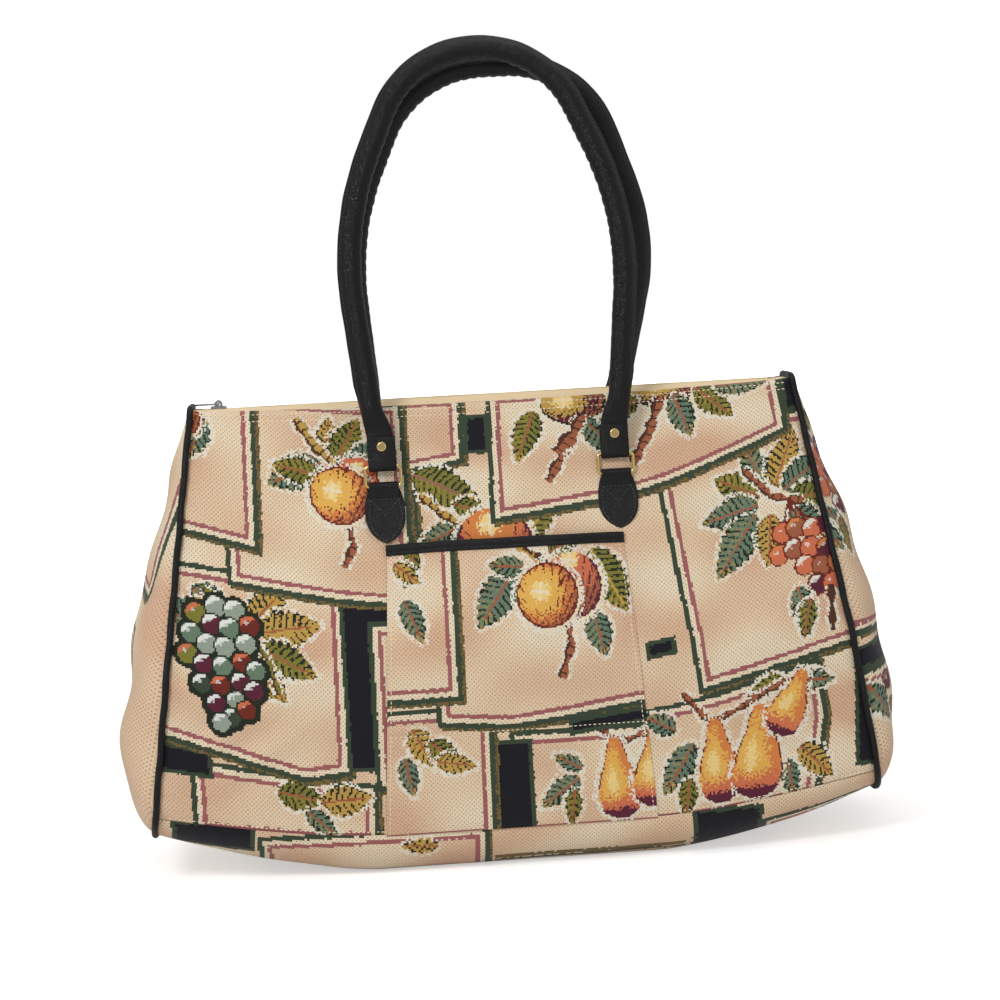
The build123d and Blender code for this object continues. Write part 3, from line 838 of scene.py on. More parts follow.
def stitch_tree():
    """A node tree that sets small rounded pieces at a pitch along every line it is given."""
    tree = bpy.data.node_groups.get("Pieces along lines")
    if tree:
        return tree
    tree = bpy.data.node_groups.new("Pieces along lines", "GeometryNodeTree")
    face = tree.interface
    face.new_socket("Lines", in_out="INPUT", socket_type="NodeSocketGeometry")
    for name in ("Pitch", "Along", "Across", "Height", "Unevenness"):
        face.new_socket(name, in_out="INPUT", socket_type="NodeSocketFloat")
    face.new_socket("Seed", in_out="INPUT", socket_type="NodeSocketInt")
    face.new_socket("Material", in_out="INPUT", socket_type="NodeSocketMaterial")
    face.new_socket("Pieces", in_out="OUTPUT", socket_type="NodeSocketGeometry")
    node, link = tree.nodes.new, tree.links.new
    given = node("NodeGroupInput")
    result = node("NodeGroupOutput")
    curve = node("GeometryNodeMeshToCurve")
    points = node("GeometryNodeCurveToPoints")
    points.mode = "LENGTH"
    ball = node("GeometryNodeMeshUVSphere")
    smooth_faces = node("GeometryNodeSetShadeSmooth")
    ball.inputs["Segments"].default_value = 8
    ball.inputs["Rings"].default_value = 5
    ball.inputs["Radius"].default_value = 0.5
    turn = node("FunctionNodeAlignRotationToVector")
    size = node("ShaderNodeCombineXYZ")
    turn.axis = "X"
    vary = node("FunctionNodeRandomValue")
    scale = node("ShaderNodeVectorMath")
    scale.operation = "SCALE"
    low = node("ShaderNodeMath")
    high = node("ShaderNodeMath")
    low.operation = "SUBTRACT"
    high.operation = "ADD"
    low.inputs[0].default_value = 1.0
    high.inputs[0].default_value = 1.0
    place = node("GeometryNodeInstanceOnPoints")
    real = node("GeometryNodeRealizeInstances")
    paint = node("GeometryNodeSetMaterial")
    link(given.outputs["Lines"], curve.inputs["Mesh"])
    link(curve.outputs["Curve"], points.inputs["Curve"])
    link(given.outputs["Pitch"], points.inputs["Length"])
    link(points.outputs["Points"], place.inputs["Points"])
    link(ball.outputs["Mesh"], smooth_faces.inputs["Geometry"])
    link(smooth_faces.outputs["Geometry"], place.inputs["Instance"])
    link(points.outputs["Tangent"], turn.inputs["Vector"])
    link(turn.outputs["Rotation"], place.inputs["Rotation"])
    link(given.outputs["Along"], size.inputs["X"])
    link(given.outputs["Across"], size.inputs["Y"])
    link(given.outputs["Height"], size.inputs["Z"])
    link(given.outputs["Unevenness"], low.inputs[1])
    link(given.outputs["Unevenness"], high.inputs[1])
    link(low.outputs[0], vary.inputs[2])
    link(high.outputs[0], vary.inputs[3])
    link(given.outputs["Seed"], vary.inputs["Seed"])
    link(size.outputs[0], scale.inputs[0])
    link(vary.outputs[1], scale.inputs["Scale"])
    link(scale.outputs[0], place.inputs["Scale"])
    link(place.outputs["Instances"], real.inputs["Geometry"])
    link(real.outputs["Geometry"], paint.inputs["Geometry"])
    link(given.outputs["Material"], paint.inputs["Material"])
    link(paint.outputs["Geometry"], result.inputs["Pieces"])
    return tree


def pieces_along(name, lines, material, pitch, along, across, height, unevenness=0.12, seed=3):
    """A mesh of small pieces set along lines by the node tree; sizes are in millimetres."""
    points, edges = [], []
    for line in lines:
        first = len(points)
        points += (np.asarray(line) * MM).tolist()
        edges += [(first + i, first + i + 1) for i in range(len(line) - 1)]
    mesh = bpy.data.meshes.new(name + "_line")
    mesh.from_pydata(points, edges, [])
    carrier = bpy.data.objects.new(name + "_line", mesh)
    bpy.context.scene.collection.objects.link(carrier)
    tree = stitch_tree()
    modifier = carrier.modifiers.new("Pieces", "NODES")
    modifier.node_group = tree
    sizes = {
        "Pitch": pitch * MM, "Along": along * MM, "Across": across * MM, "Height": height * MM,
        "Unevenness": unevenness, "Seed": seed, "Material": material,
    }
    for item in tree.interface.items_tree:
        if item.item_type == "SOCKET" and item.in_out == "INPUT" and item.name in sizes:
            modifier[item.identifier] = sizes[item.name]
    bpy.context.view_layer.update()
    made = carrier.evaluated_get(bpy.context.evaluated_depsgraph_get())
    result = bpy.data.meshes.new_from_object(made)
    result.name = name
    bpy.data.objects.remove(carrier)
    bpy.data.meshes.remove(mesh)
    obj = bpy.data.objects.new(name, result)
    bpy.context.scene.collection.objects.link(obj)
    if not result.polygons:
        raise RuntimeError(f"{name} has no pieces along its lines")
    return obj


# ---------------------------------------------------------------- materials

def group_of(name, inputs, outputs):
    """An empty shader node group with its sockets, and its input and output nodes."""
    tree = bpy.data.node_groups.new(name, "ShaderNodeTree")
    for label, kind, value in inputs:
        socket = tree.interface.new_socket(label, in_out="INPUT", socket_type=kind)
        if value is not None:
            socket.default_value = value
    for label, kind in outputs:
        tree.interface.new_socket(label, in_out="OUTPUT", socket_type=kind)
    return tree, tree.nodes.new("NodeGroupInput"), tree.nodes.new("NodeGroupOutput")


def weave_group():
    """Threads of a weave as a normal, a mask of their relief that the materials use for painted shade
    between threads, and flecks, from a place on the cloth.
    """
    tree = bpy.data.node_groups.get("Woven threads")
    if tree:
        return tree
    tree, given, result = group_of(
        "Woven threads",
        [
            ("Place", "NodeSocketVector", None), ("Threads", "NodeSocketFloat", 900.0),
            ("Depth", "NodeSocketFloat", 0.5),
        ],
        [("Normal", "NodeSocketVector"), ("Thread", "NodeSocketFloat"), ("Fleck", "NodeSocketFloat")],
    )
    node, link = tree.nodes.new, tree.links.new
    warp = node("ShaderNodeTexWave")
    weft = node("ShaderNodeTexWave")
    noise = node("ShaderNodeTexNoise")
    warp.bands_direction = "X"
    weft.bands_direction = "Y"
    warp.inputs["Distortion"].default_value = 1.2
    weft.inputs["Distortion"].default_value = 1.2
    warp.inputs["Detail Scale"].default_value = 2.0
    both = node("ShaderNodeMath")
    bump = node("ShaderNodeBump")
    both.operation = "MAXIMUM"
    noise.inputs["Scale"].default_value = 620.0
    noise.inputs["Detail"].default_value = 2.0
    bump.inputs["Distance"].default_value = 0.0004
    for wave in (warp, weft):
        link(given.outputs["Place"], wave.inputs["Vector"])
        link(given.outputs["Threads"], wave.inputs["Scale"])
    link(given.outputs["Place"], noise.inputs["Vector"])
    link(warp.outputs["Fac"], both.inputs[0])
    link(weft.outputs["Fac"], both.inputs[1])
    link(both.outputs[0], bump.inputs["Height"])
    link(given.outputs["Depth"], bump.inputs["Strength"])
    link(bump.outputs["Normal"], result.inputs["Normal"])
    # The relief also goes out as Thread, which the materials multiply into the colour as painted shade
    # between threads.
    link(both.outputs[0], result.inputs["Thread"])
    link(noise.outputs["Fac"], result.inputs["Fleck"])
    return tree


def material_of(name):
    """A new material with its node tree and its Principled shader."""
    material = bpy.data.materials.new(name)
    material.use_nodes = True
    tree = material.node_tree
    shader = next(n for n in tree.nodes if n.type == "BSDF_PRINCIPLED")
    return material, tree, shader


def fabric(name, colour, roughness, threads, depth, from_uv=True):
    """Plain woven cloth in one colour, darkened where the weave's relief is low as painted shade between
    threads.
    """
    found = bpy.data.materials.get(name)
    if found:
        return found
    material, tree, shader = material_of(name)
    place = tree.nodes.new("ShaderNodeTexCoord")
    weave = tree.nodes.new("ShaderNodeGroup")
    weave.node_tree = weave_group()
    weave.inputs["Threads"].default_value = threads
    weave.inputs["Depth"].default_value = depth
    # Darkens the colour by the weave's relief: painted shade between threads.
    mix = tree.nodes.new("ShaderNodeMix")
    mix.data_type = "RGBA"
    mix.blend_type = "MULTIPLY"
    mix.inputs[0].default_value = 0.16
    mix.inputs[6].default_value = (*colour, 1)
    tree.links.new(place.outputs["UV" if from_uv else "Object"], weave.inputs["Place"])
    tree.links.new(weave.outputs["Thread"], mix.inputs[7])
    tree.links.new(mix.outputs[2], shader.inputs["Base Color"])
    tree.links.new(weave.outputs["Normal"], shader.inputs["Normal"])
    shader.inputs["Roughness"].default_value = roughness
    shader.inputs["Sheen Weight"].default_value = 0.25
    return material


def tapestry():
    """The printed cloth: colour cells from the piece, pin dots on the ground, a woven relief, and painted
    shade between threads.
    """
    found = bpy.data.materials.get("Tapestry")
    if found:
        return found
    cloth = bpy.context.scene.bag_cloth
    material, tree, shader = material_of("Tapestry")
    node, link = tree.nodes.new, tree.links.new
    print_cells = node("ShaderNodeAttribute")
    place = node("ShaderNodeTexCoord")
    split = node("ShaderNodeSeparateXYZ")
    print_cells.attribute_name = "print"
    link(place.outputs["UV"], split.inputs[0])
    waves = []
    for sign in (1.0, -1.0):
        turned = node("ShaderNodeMath")
        wave = node("ShaderNodeMath")
        turned.operation = "MULTIPLY_ADD"
        wave.operation = "SINE"
        turned.inputs[1].default_value = sign
        link(split.outputs["Y"], turned.inputs[0])
        link(split.outputs["X"], turned.inputs[2])
        sized = node("ShaderNodeMath")
        sized.operation = "MULTIPLY"
        sized.inputs[1].default_value = 2 * math.pi / cloth.dot_pitch
        link(turned.outputs[0], sized.inputs[0])
        link(sized.outputs[0], wave.inputs[0])
        waves.append(wave)
    cross = node("ShaderNodeMath")
    cross.operation = "MINIMUM"
    link(waves[0].outputs[0], cross.inputs[0])
    link(waves[1].outputs[0], cross.inputs[1])
    dot = node("ShaderNodeMapRange")
    shown = node("ShaderNodeMath")
    dot.inputs["From Min"].default_value = 0.25
    dot.inputs["From Max"].default_value = 0.6
    shown.operation = "MULTIPLY"
    link(cross.outputs[0], dot.inputs["Value"])
    link(dot.outputs["Result"], shown.inputs[0])
    link(print_cells.outputs["Alpha"], shown.inputs[1])
    soft = node("ShaderNodeMath")
    soft.operation = "MULTIPLY"
    soft.inputs[1].default_value = cloth.dot_strength
    link(shown.outputs[0], soft.inputs[0])
    dotted = node("ShaderNodeMix")
    threads = node("ShaderNodeMix")
    worn = node("ShaderNodeMix")
    for mix in (dotted, threads, worn):
        mix.data_type = "RGBA"
    dotted.inputs[7].default_value = (*DOT_BROWN, 1)
    link(soft.outputs[0], dotted.inputs[0])
    link(print_cells.outputs["Color"], dotted.inputs[6])
    weave = node("ShaderNodeGroup")
    weave.node_tree = weave_group()
    weave.inputs["Threads"].default_value = cloth.threads
    weave.inputs["Depth"].default_value = cloth.relief
    link(place.outputs["UV"], weave.inputs["Place"])
    # Darkens the colour by the weave's relief: painted shade between threads.
    threads.blend_type = "MULTIPLY"
    threads.inputs[0].default_value = 0.22
    link(dotted.outputs[2], threads.inputs[6])
    link(weave.outputs["Thread"], threads.inputs[7])
    worn.blend_type = "OVERLAY"
    worn.inputs[0].default_value = 0.22
    link(threads.outputs[2], worn.inputs[6])
    link(weave.outputs["Fleck"], worn.inputs[7])
    link(worn.outputs[2], shader.inputs["Base Color"])
    link(weave.outputs["Normal"], shader.inputs["Normal"])
    shader.inputs["Roughness"].default_value = 0.92
    shader.inputs["Specular IOR Level"].default_value = 0.25
    shader.inputs["Sheen Weight"].default_value = 0.15
    return material


def leather():
    """Black satin leather with a fine grain."""
    found = bpy.data.materials.get("Black leather")
    if found:
        return found
    look = bpy.context.scene.bag_leather
    material, tree, shader = material_of("Black leather")
    node, link = tree.nodes.new, tree.links.new
    place = node("ShaderNodeTexCoord")
    cells = node("ShaderNodeTexVoronoi")
    noise = node("ShaderNodeTexNoise")
    cells.feature = "DISTANCE_TO_EDGE"
    cells.inputs["Scale"].default_value = 950.0
    noise.inputs["Scale"].default_value = 90.0
    noise.inputs["Detail"].default_value = 5.0
    add = node("ShaderNodeMath")
    bump = node("ShaderNodeBump")
    gloss = node("ShaderNodeMapRange")
    add.operation = "ADD"
    bump.inputs["Strength"].default_value = 0.6
    bump.inputs["Distance"].default_value = 0.0008
    gloss.inputs["To Min"].default_value = look.roughness - 0.1
    gloss.inputs["To Max"].default_value = look.roughness + 0.12
    link(place.outputs["Object"], cells.inputs["Vector"])
    link(place.outputs["Object"], noise.inputs["Vector"])
    link(cells.outputs["Distance"], add.inputs[0])
    link(noise.outputs["Fac"], add.inputs[1])
    link(add.outputs[0], bump.inputs["Height"])
    link(bump.outputs["Normal"], shader.inputs["Normal"])
    link(noise.outputs["Fac"], gloss.inputs["Value"])
    link(gloss.outputs["Result"], shader.inputs["Roughness"])
    shader.inputs["Base Color"].default_value = (*look.colour, 1)
    shader.inputs["Specular IOR Level"].default_value = 0.24
    return material


def metal(name, colour, roughness):
    """Polished metal with faint wear."""
    found = bpy.data.materials.get(name)
    if found:
        return found
    material, tree, shader = material_of(name)
    place = tree.nodes.new("ShaderNodeTexCoord")
    noise = tree.nodes.new("ShaderNodeTexNoise")
    gloss = tree.nodes.new("ShaderNodeMapRange")
    noise.inputs["Scale"].default_value = 400.0
    gloss.inputs["To Min"].default_value = roughness
    gloss.inputs["To Max"].default_value = roughness + 0.15
    tree.links.new(place.outputs["Object"], noise.inputs["Vector"])
    tree.links.new(noise.outputs["Fac"], gloss.inputs["Value"])
    tree.links.new(gloss.outputs["Result"], shader.inputs["Roughness"])
    shader.inputs["Base Color"].default_value = (*colour, 1)
    shader.inputs["Metallic"].default_value = 1.0
    return material


def plain(name, colour, roughness):
    """A plain material in one colour, for thread and moulded pieces."""
    found = bpy.data.materials.get(name)
    if found:
        return found
    material, _, shader = material_of(name)
    shader.inputs["Base Color"].default_value = (*colour, 1)
    shader.inputs["Roughness"].default_value = roughness
    return material


def dress(obj, material, body, replaces=()):
    """Give a new piece its finish and its body, and hide the frame's nodes that it stands for."""
    obj.data.materials.clear()
    obj.data.materials.append(material)
    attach(obj, body)
    if replaces:
        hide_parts(*replaces)
    return obj


def sew(name, rows, thread, body, sizes):
    """Rows of stitches as one piece; sizes are pitch, length, width and height in millimetres."""
    return dress(pieces_along(name, rows, thread, *sizes), thread, body)


def coat(node, material):
    """Give one of the frame's own nodes a better finish."""
    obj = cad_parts[node]
    obj.data.materials.clear()
    obj.data.materials.append(material)
    obj.data.shade_smooth()


# ---------------------------------------------------------------- the pieces' shapes

FACES = {}


def face(side):
    """A face's softened grid and the climb of each point up its cloth, made once for each side."""
    if side not in FACES:
        cloth = bpy.context.scene.bag_cloth
        columns, rows = FRONT_POINTS if side < 0 else BACK_POINTS
        grid, climb = face_grid(side, columns, rows)
        FACES[side] = (soften(grid, side, 21 if side < 0 else 47, cloth.swell), climb)
    return FACES[side]


def surface_of(obj):
    """A ray-cast tree of a finished piece."""
    faces = [tuple(face.vertices) for face in obj.data.polygons]
    return BVHTree.FromPolygons([point.co for point in obj.data.vertices], faces)


def laid_on(tree, line, lift, direction=(0, 1, 0)):
    """Points of a line, in millimetres, dropped onto a surface along a direction and lifted off it."""
    way = Vector(direction)
    found = []
    for x, y, z in line:
        start = Vector((x, y, z)) * MM - way * 0.3
        hit, normal, _, _ = tree.ray_cast(start, way)
        if hit is None:
            continue
        if normal.dot(way) > 0:
            normal = -normal
        found.append(np.array(hit + normal * lift * MM) / MM)
    return np.array(found)


def straight(x0, z0, x1, z1, spacing=2.0):
    """Points of a straight line seen from the front."""
    count = max(2, int(math.hypot(x1 - x0, z1 - z0) / spacing))
    return [(x, 0.0, z) for x, z in zip(np.linspace(x0, x1, count), np.linspace(z0, z1, count))]


def pocket_half(z):
    """Half width of the pocket at a height."""
    share = (POCKET_TOP - z) / (POCKET_TOP - BASE_SEAM_Z)
    return POCKET_HALF_TOP + (POCKET_HALF_LOW - POCKET_HALF_TOP) * share


def pocket_points(x_share, z, lift):
    """Points of the pocket's cloth at shares of its width and heights, standing off the front face."""
    x = x_share * pocket_half(z)
    grid, _ = face(-1)
    column = np.clip((x / seam_x(z) + 1) / 2 * (len(grid) - 1), 0, len(grid) - 1.001)
    low = column.astype(int)
    share = (column - low)[..., None]
    heights = grid[:, :, 2]
    y = np.zeros(x.shape)
    for k, part in ((0, 1 - share), (1, share)):
        pairs = zip((low + k).ravel(), z.ravel())
        picked = np.array([np.interp(high, heights[c], grid[c, :, 1]) for c, high in pairs])
        y += picked.reshape(x.shape) * part[..., 0]
    open_share = smooth(z, POCKET_FLOOR, POCKET_TOP)
    stand = 0.9 + 0.9 * (1 - abs(x_share) ** 6) + 3.6 * open_share * (1 - x_share ** 2)
    stand -= 0.9 * np.exp(-((z - POCKET_FLOOR) / 3.0) ** 2)
    stand += 0.5 * ripple(x, z, 58, 5) * (1 - x_share ** 4)
    normal = np.array([0.0, -0.94, 0.34])
    return np.stack([x, y, z], axis=-1) + normal * (stand + lift)[..., None]


def bottom_grid(columns, rows):
    """Grid of the base from the front seam round under to the back seam, and its place on the print."""
    grid, down = np.zeros((columns, rows, 3)), np.zeros((columns, rows))
    for i, t in enumerate(np.linspace(-1, 1, columns)):
        front, back = rib(t, -1), rib(t, 1)
        reach = seam_length(front)
        line = np.vstack([cut(front, 0, reach, 60)[::-1], cut(back, 0, reach, 60)[1:]])
        grid[i] = cut(line, 0, lengths_of(line)[-1], rows)
        down[i] = float(seam_z(grid[i, 0, 0])) - np.linspace(0, lengths_of(line)[-1], rows)
    x, y = grid[:, :, 0], grid[:, :, 1]
    edge = np.minimum(np.arange(rows), np.arange(rows)[::-1])[None, :] * 2.0
    sag = 0.8 * ripple(x, y, 90, 61) * smooth(edge, 0, 30) * smooth(grid[:, :, 2], 0.5, 8)
    tuck = -1.0 * np.exp(-edge / 4.0) + 0.4 * np.sin(x / 2.7) * np.exp(-edge / 8.0) * smooth(edge, 1, 4)
    normal = grid_normals(grid)
    normal = normal * np.sign(-normal[:, :, 2:3] + 1e-6)
    return grid + normal * (sag + tuck)[:, :, None], down


def end_outline(grow, count):
    """The closed outline of an end seam, as (y, z), evenly spaced from the middle of the base."""
    half = half_outline(END, grow)
    loop = np.vstack([half, (half * [-1, 1])[::-1][1:]])
    flat = np.stack([np.zeros(len(loop)), loop[:, 0], loop[:, 1]], axis=1)
    return cut(flat, 0, lengths_of(flat)[-1], count + 1)[:-1, 1:]


def end_dome(side, rings, around):
    """Points, faces and print places of one bulging end."""
    outline = end_outline(0.0, around)
    normal = np.array([side, 0.0, SEAM_LEAN]) / math.hypot(1, SEAM_LEAN)
    points, places = [], []
    for share in np.linspace(1.0, 0.02, rings):
        y = outline[:, 0] * share
        z = END_CENTRE_Z + (outline[:, 1] - END_CENTRE_Z) * share
        out = (1 - share ** 3.2) ** 0.62 * END_BULGE
        out = out * (0.35 + 0.65 * smooth(TOP_Z - z, 10, 190))
        crease = 2.0 * ripple(y, z, 110, 71 + side) + 1.4 * np.sin(z / 11.0 + y / 24.0)
        out = out + crease * smooth(1 - share, 0.04, 0.3) - 0.8 * math.exp(-(1 - share) * 60)
        place = np.stack([side * seam_x(z), y, z], axis=1) + normal * out[:, None]
        points.append(place)
        places.append(np.stack([y, z], axis=1))
    faces = []
    for k in range(rings - 1):
        a, b = k * around, (k + 1) * around
        for j in range(around):
            n = (j + 1) % around
            quad = (a + j, a + n, b + n, b + j)
            faces.append(quad if side > 0 else quad[::-1])
    centre = rings * around
    points.append(points[-1].mean(axis=0, keepdims=True))
    places.append(places[-1].mean(axis=0, keepdims=True))
    last = (rings - 1) * around
    for j in range(around):
        fan = (last + j, last + (j + 1) % around, centre)
        faces.append(fan if side > 0 else fan[::-1])
    return np.vstack(points), faces, np.vstack(places)


def handle_line(front):
    """The centre line of a handle from one ring to the other, in millimetres."""
    route, lean, way = (FRONT_ROUTE, FRONT_LEAN, 1) if front else (BACK_ROUTE, BACK_LEAN, -1)
    legs = FRONT_NECKS if front else BACK_NECKS
    hinge = BAR_Z + RING_RISE * math.cos(lean)
    flat = [(-TAB_X, hinge + 4), (-TAB_X, hinge + 21), (legs[0], NECK_Z)]
    flat += [(x, z) for x, z, _ in route]
    flat += [(legs[1], NECK_Z), (TAB_X, hinge + 21), (TAB_X, hinge + 4)]
    points = [(x, way * (BAR_Y + (z - BAR_Z) * math.tan(lean)), z) for x, z in flat]
    radii = [40, 60] + [r for _, _, r in route] + [60, 40]
    return filleted(points, radii, 2.0)


def handle_section(length, total, angles):
    """Offsets of a handle's skin: flat at the ring, round above, with a sewn flange outside."""
    look = bpy.context.scene.bag_handles
    radius = look.radius / MM
    end = min(length, total - length) + 4
    thick = 1.5 + 2.0 * float(smooth(end, 16, 22.5)) + (radius - 3.5) * float(smooth(end, 22.5, 43))
    wide = 9.4 + (radius - 9.4) * float(smooth(end, 21, 44))
    square = 2.0 + 2.4 * float(1 - smooth(end, 22, 42))
    c, s = np.cos(angles), np.sin(angles)
    away = np.sign(c) * abs(c) ** (2 / square) * wide
    across = np.sign(s) * abs(s) ** (2 / square) * thick
    middle = float(smooth(end, 40, 60))
    turned = np.minimum(angles, 2 * math.pi - angles)
    away = away + look.flange / MM * np.exp(-(turned / 0.17) ** 2) * middle
    bend = math.exp(-((length - total / 2) / 230) ** 4)
    inner = np.clip(0.25 - c, 0, 1) ** 1.2
    crease = (0.5 + 0.5 * math.sin(length / 1.25 + 1.3 * math.sin(length / 17))) ** 3
    dents = 0.25 * math.sin(length / 9.0 + 2 * math.sin(length / 31)) + 0.2 * math.sin(length / 4.1)
    swell = -0.75 * bend * crease * inner + 0.35 * dents * middle
    return across * (1 + swell / radius), away * (1 + swell / radius)


def strap(side, front):
    """The folded end of a handle round its ring: a flat strip, down one face and up the other."""
    lean, way = (FRONT_LEAN, 1) if front else (BACK_LEAN, -1)
    profile = [(FOLD_HALF, FOLD_REACH - FOLD_STEP * k) for k in range(31)]
    for a in np.linspace(0, math.pi, 16)[1:-1]:
        profile.append((FOLD_HALF * math.cos(a), -FOLD_HALF * math.sin(a)))
    profile += [(-FOLD_HALF, FOLD_STEP * k) for k in range(31)]
    line = np.array(profile)
    step = np.gradient(line, axis=0)
    step /= np.linalg.norm(step, axis=1)[:, None]
    normal = np.stack([-step[:, 1], step[:, 0]], axis=1)
    corners = [
        (-10, 0.0), (-9.6, 0.8), (-8.8, 1.0), (8.8, 1.0), (9.6, 0.8),
        (10, 0.0), (9.6, -0.8), (8.8, -0.9), (-8.8, -0.9), (-9.6, -0.8),
    ]
    up = np.array([0.0, way * math.sin(lean), math.cos(lean)])
    off = np.array([0.0, -way * math.cos(lean), math.sin(lean)])
    hinge = np.array([side * TAB_X, way * BAR_Y, BAR_Z]) + up * RING_RISE
    grid = np.zeros((len(line), len(corners), 3))
    for i, ((t, h), (nt, nh)) in enumerate(zip(line, normal)):
        for k, (x, n) in enumerate(corners):
            grid[i, k] = hinge + up * (h + nh * n) + off * (t + nt * n) + np.array([x, 0, 0])
    return grid


def join(name, parts):
    """One object from several, keeping their meshes as they are."""
    for obj in bpy.context.selected_objects:
        obj.select_set(False)
    for obj in parts:
        obj.select_set(True)
    bpy.context.view_layer.objects.active = parts[0]
    bpy.ops.object.join()
    parts[0].name = name
    parts[0].data.name = name
    return parts[0]


def outward(obj):
    """Turn every face of a closed piece outwards."""
    work = bmesh.new()
    work.from_mesh(obj.data)
    bmesh.ops.recalc_face_normals(work, faces=work.faces)
    work.to_mesh(obj.data)
    work.free()
    return obj


# ---------------------------------------------------------------- settings

class BagCloth(bpy.types.PropertyGroup):
    """The tapestry's colours, weave and softness."""

    ground: bpy.props.FloatVectorProperty(
        name="Ground", description="Colour of the cloth's plain ground",
        subtype="COLOR", size=3, default=GROUND)
    line: bpy.props.FloatVectorProperty(
        name="Pane line", description="Colour of the line inside each pane",
        subtype="COLOR", size=3, default=ROSE)
    border: bpy.props.FloatVectorProperty(
        name="Pane border", description="Colour of each pane's edge", subtype="COLOR", size=3, default=GREEN)
    dot_pitch: bpy.props.FloatProperty(
        name="Dot pitch", description="Distance between pin dots of the ground",
        unit="LENGTH", default=0.0031)
    dot_strength: bpy.props.FloatProperty(
        name="Dot strength", description="How dark the pin dots are",
        subtype="FACTOR", min=0, max=1, default=0.75)
    threads: bpy.props.FloatProperty(
        name="Threads", description="Fineness of the weave", default=330.0, min=10)
    relief: bpy.props.FloatProperty(
        name="Weave relief", description="Strength of the weave's relief",
        subtype="FACTOR", min=0, max=1, default=0.6)
    swell: bpy.props.FloatProperty(
        name="Swell", description="How far the soft faces swell and fold", min=0, max=2, default=1.0)


class BagLeather(bpy.types.PropertyGroup):
    """The leather's colour and gloss."""

    colour: bpy.props.FloatVectorProperty(
        name="Leather", description="Colour of the leather",
        subtype="COLOR", size=3, default=(0.0045, 0.0045, 0.005))
    roughness: bpy.props.FloatProperty(
        name="Roughness", description="Roughness of the leather",
        subtype="FACTOR", min=0.15, max=0.85, default=0.34)


class BagHandles(bpy.types.PropertyGroup):
    """The rolled handles' sizes."""

    radius: bpy.props.FloatProperty(
        name="Radius", description="Radius of the rolled part", unit="LENGTH", default=0.0078)
    flange: bpy.props.FloatProperty(
        name="Flange", description="How far the sewn edge stands out", unit="LENGTH", default=0.0017)


class BagStitches(bpy.types.PropertyGroup):
    """The thread's size and spacing."""

    pitch: bpy.props.FloatProperty(
        name="Pitch", description="Distance from one stitch to the next", unit="LENGTH", default=0.0034)
    thick: bpy.props.FloatProperty(
        name="Thickness", description="Thickness of the thread", unit="LENGTH", default=0.0007)
    thread: bpy.props.FloatVectorProperty(
        name="Thread", description="Colour of the thread on the cloth",
        subtype="COLOR", size=3, default=LIGHT)


class BagStage(bpy.types.PropertyGroup):
    """The floor and the lights round the bag."""

    floor: bpy.props.FloatVectorProperty(
        name="Floor", description="Colour of the floor", subtype="COLOR", size=3, default=(0.86, 0.86, 0.86))
    light: bpy.props.FloatProperty(
        name="Light", description="Strength of the lights", min=0, max=4, default=1.0)


# ---------------------------------------------------------------- the pieces

class BAG_OT_body(bpy.types.Operator):
    """Makes the front, back, base and two ends of printed tapestry"""

    bl_idname = "bag.body"
    bl_label = "Body cloth"

    def execute(self, context):
        for name, side, paint, node in (
            ("front_cloth", -1, front_print, "front_panel"), ("back_cloth", 1, back_print, "back_panel"),
        ):
            grid, climb = face(side)
            uv = np.stack([grid[:, :, 0].ravel() * -side, climb.ravel() + BASE_SEAM_Z], axis=1)
            faces = grid_faces(*grid.shape[:2], flip=side > 0)
            obj = printed(name, grid.reshape(-1, 3), faces, uv, paint, 5)
            dress(obj, tapestry(), "bag", [node])
        grid, down = bottom_grid(*BASE_POINTS)
        uv = np.stack([grid[:, :, 0].ravel(), down.ravel()], axis=1)
        faces = grid_faces(*BASE_POINTS, flip=True)
        obj = printed("base_cloth", grid.reshape(-1, 3), faces, uv, base_print, 8)
        dress(obj, tapestry(), "bag", ["base_panel"])
        for end, side in (("left", -1), ("right", 1)):
            points, faces, places = end_dome(side, 84, 330)
            paint = right_print if side > 0 else left_print
            obj = printed("end_cloth_" + end, points, faces, places, paint, 9 + side)
            dress(obj, tapestry(), "bag", ["end_panel_" + end])
        ribs = []
        for t in np.linspace(-0.97, 0.97, 60):
            right, left = rib(t, 1, -LINING_IN), rib(t, -1, -LINING_IN)
            loop = np.vstack([right, left[::-1][1:-1]])
            loop = np.vstack([loop, loop[:1]])
            ribs.append(cut(loop, 0, lengths_of(loop)[-1], 121)[:-1])
        obj = outward(tube_mesh("lining_bag", np.array(ribs)))
        cloth = fabric("Lining cloth", srgb(196, 170, 132), 0.9, 500.0, 0.4, from_uv=False)
        dress(obj, cloth, "bag", ["lining"])
        return {"FINISHED"}


class BAG_OT_piping(bpy.types.Operator):
    """Makes the leather piping round both end seams"""

    bl_idname = "bag.piping"
    bl_label = "Piping"

    def execute(self, context):
        for name, side in (("piping_left", -1), ("piping_right", 1)):
            outline = end_outline(PIPING_PROUD, 420)
            line = np.stack([side * seam_x(outline[:, 1]), outline[:, 0], outline[:, 1]], axis=1)
            line = line + 0.25 * np.sin(np.linspace(0, 40 * math.pi, len(line)))[:, None] * [side, 0, 0]

            def cord(length, total, angles):
                radius = PIPING_R * (1 + 0.03 * math.sin(length / 3.1))
                return radius * np.sin(angles), radius * np.cos(angles)

            obj = outward(tube_mesh("cover_" + name, tube(line, cord, True), True))
            obj.name = name + "_leather"
            dress(obj, leather(), "bag", [name])
        return {"FINISHED"}


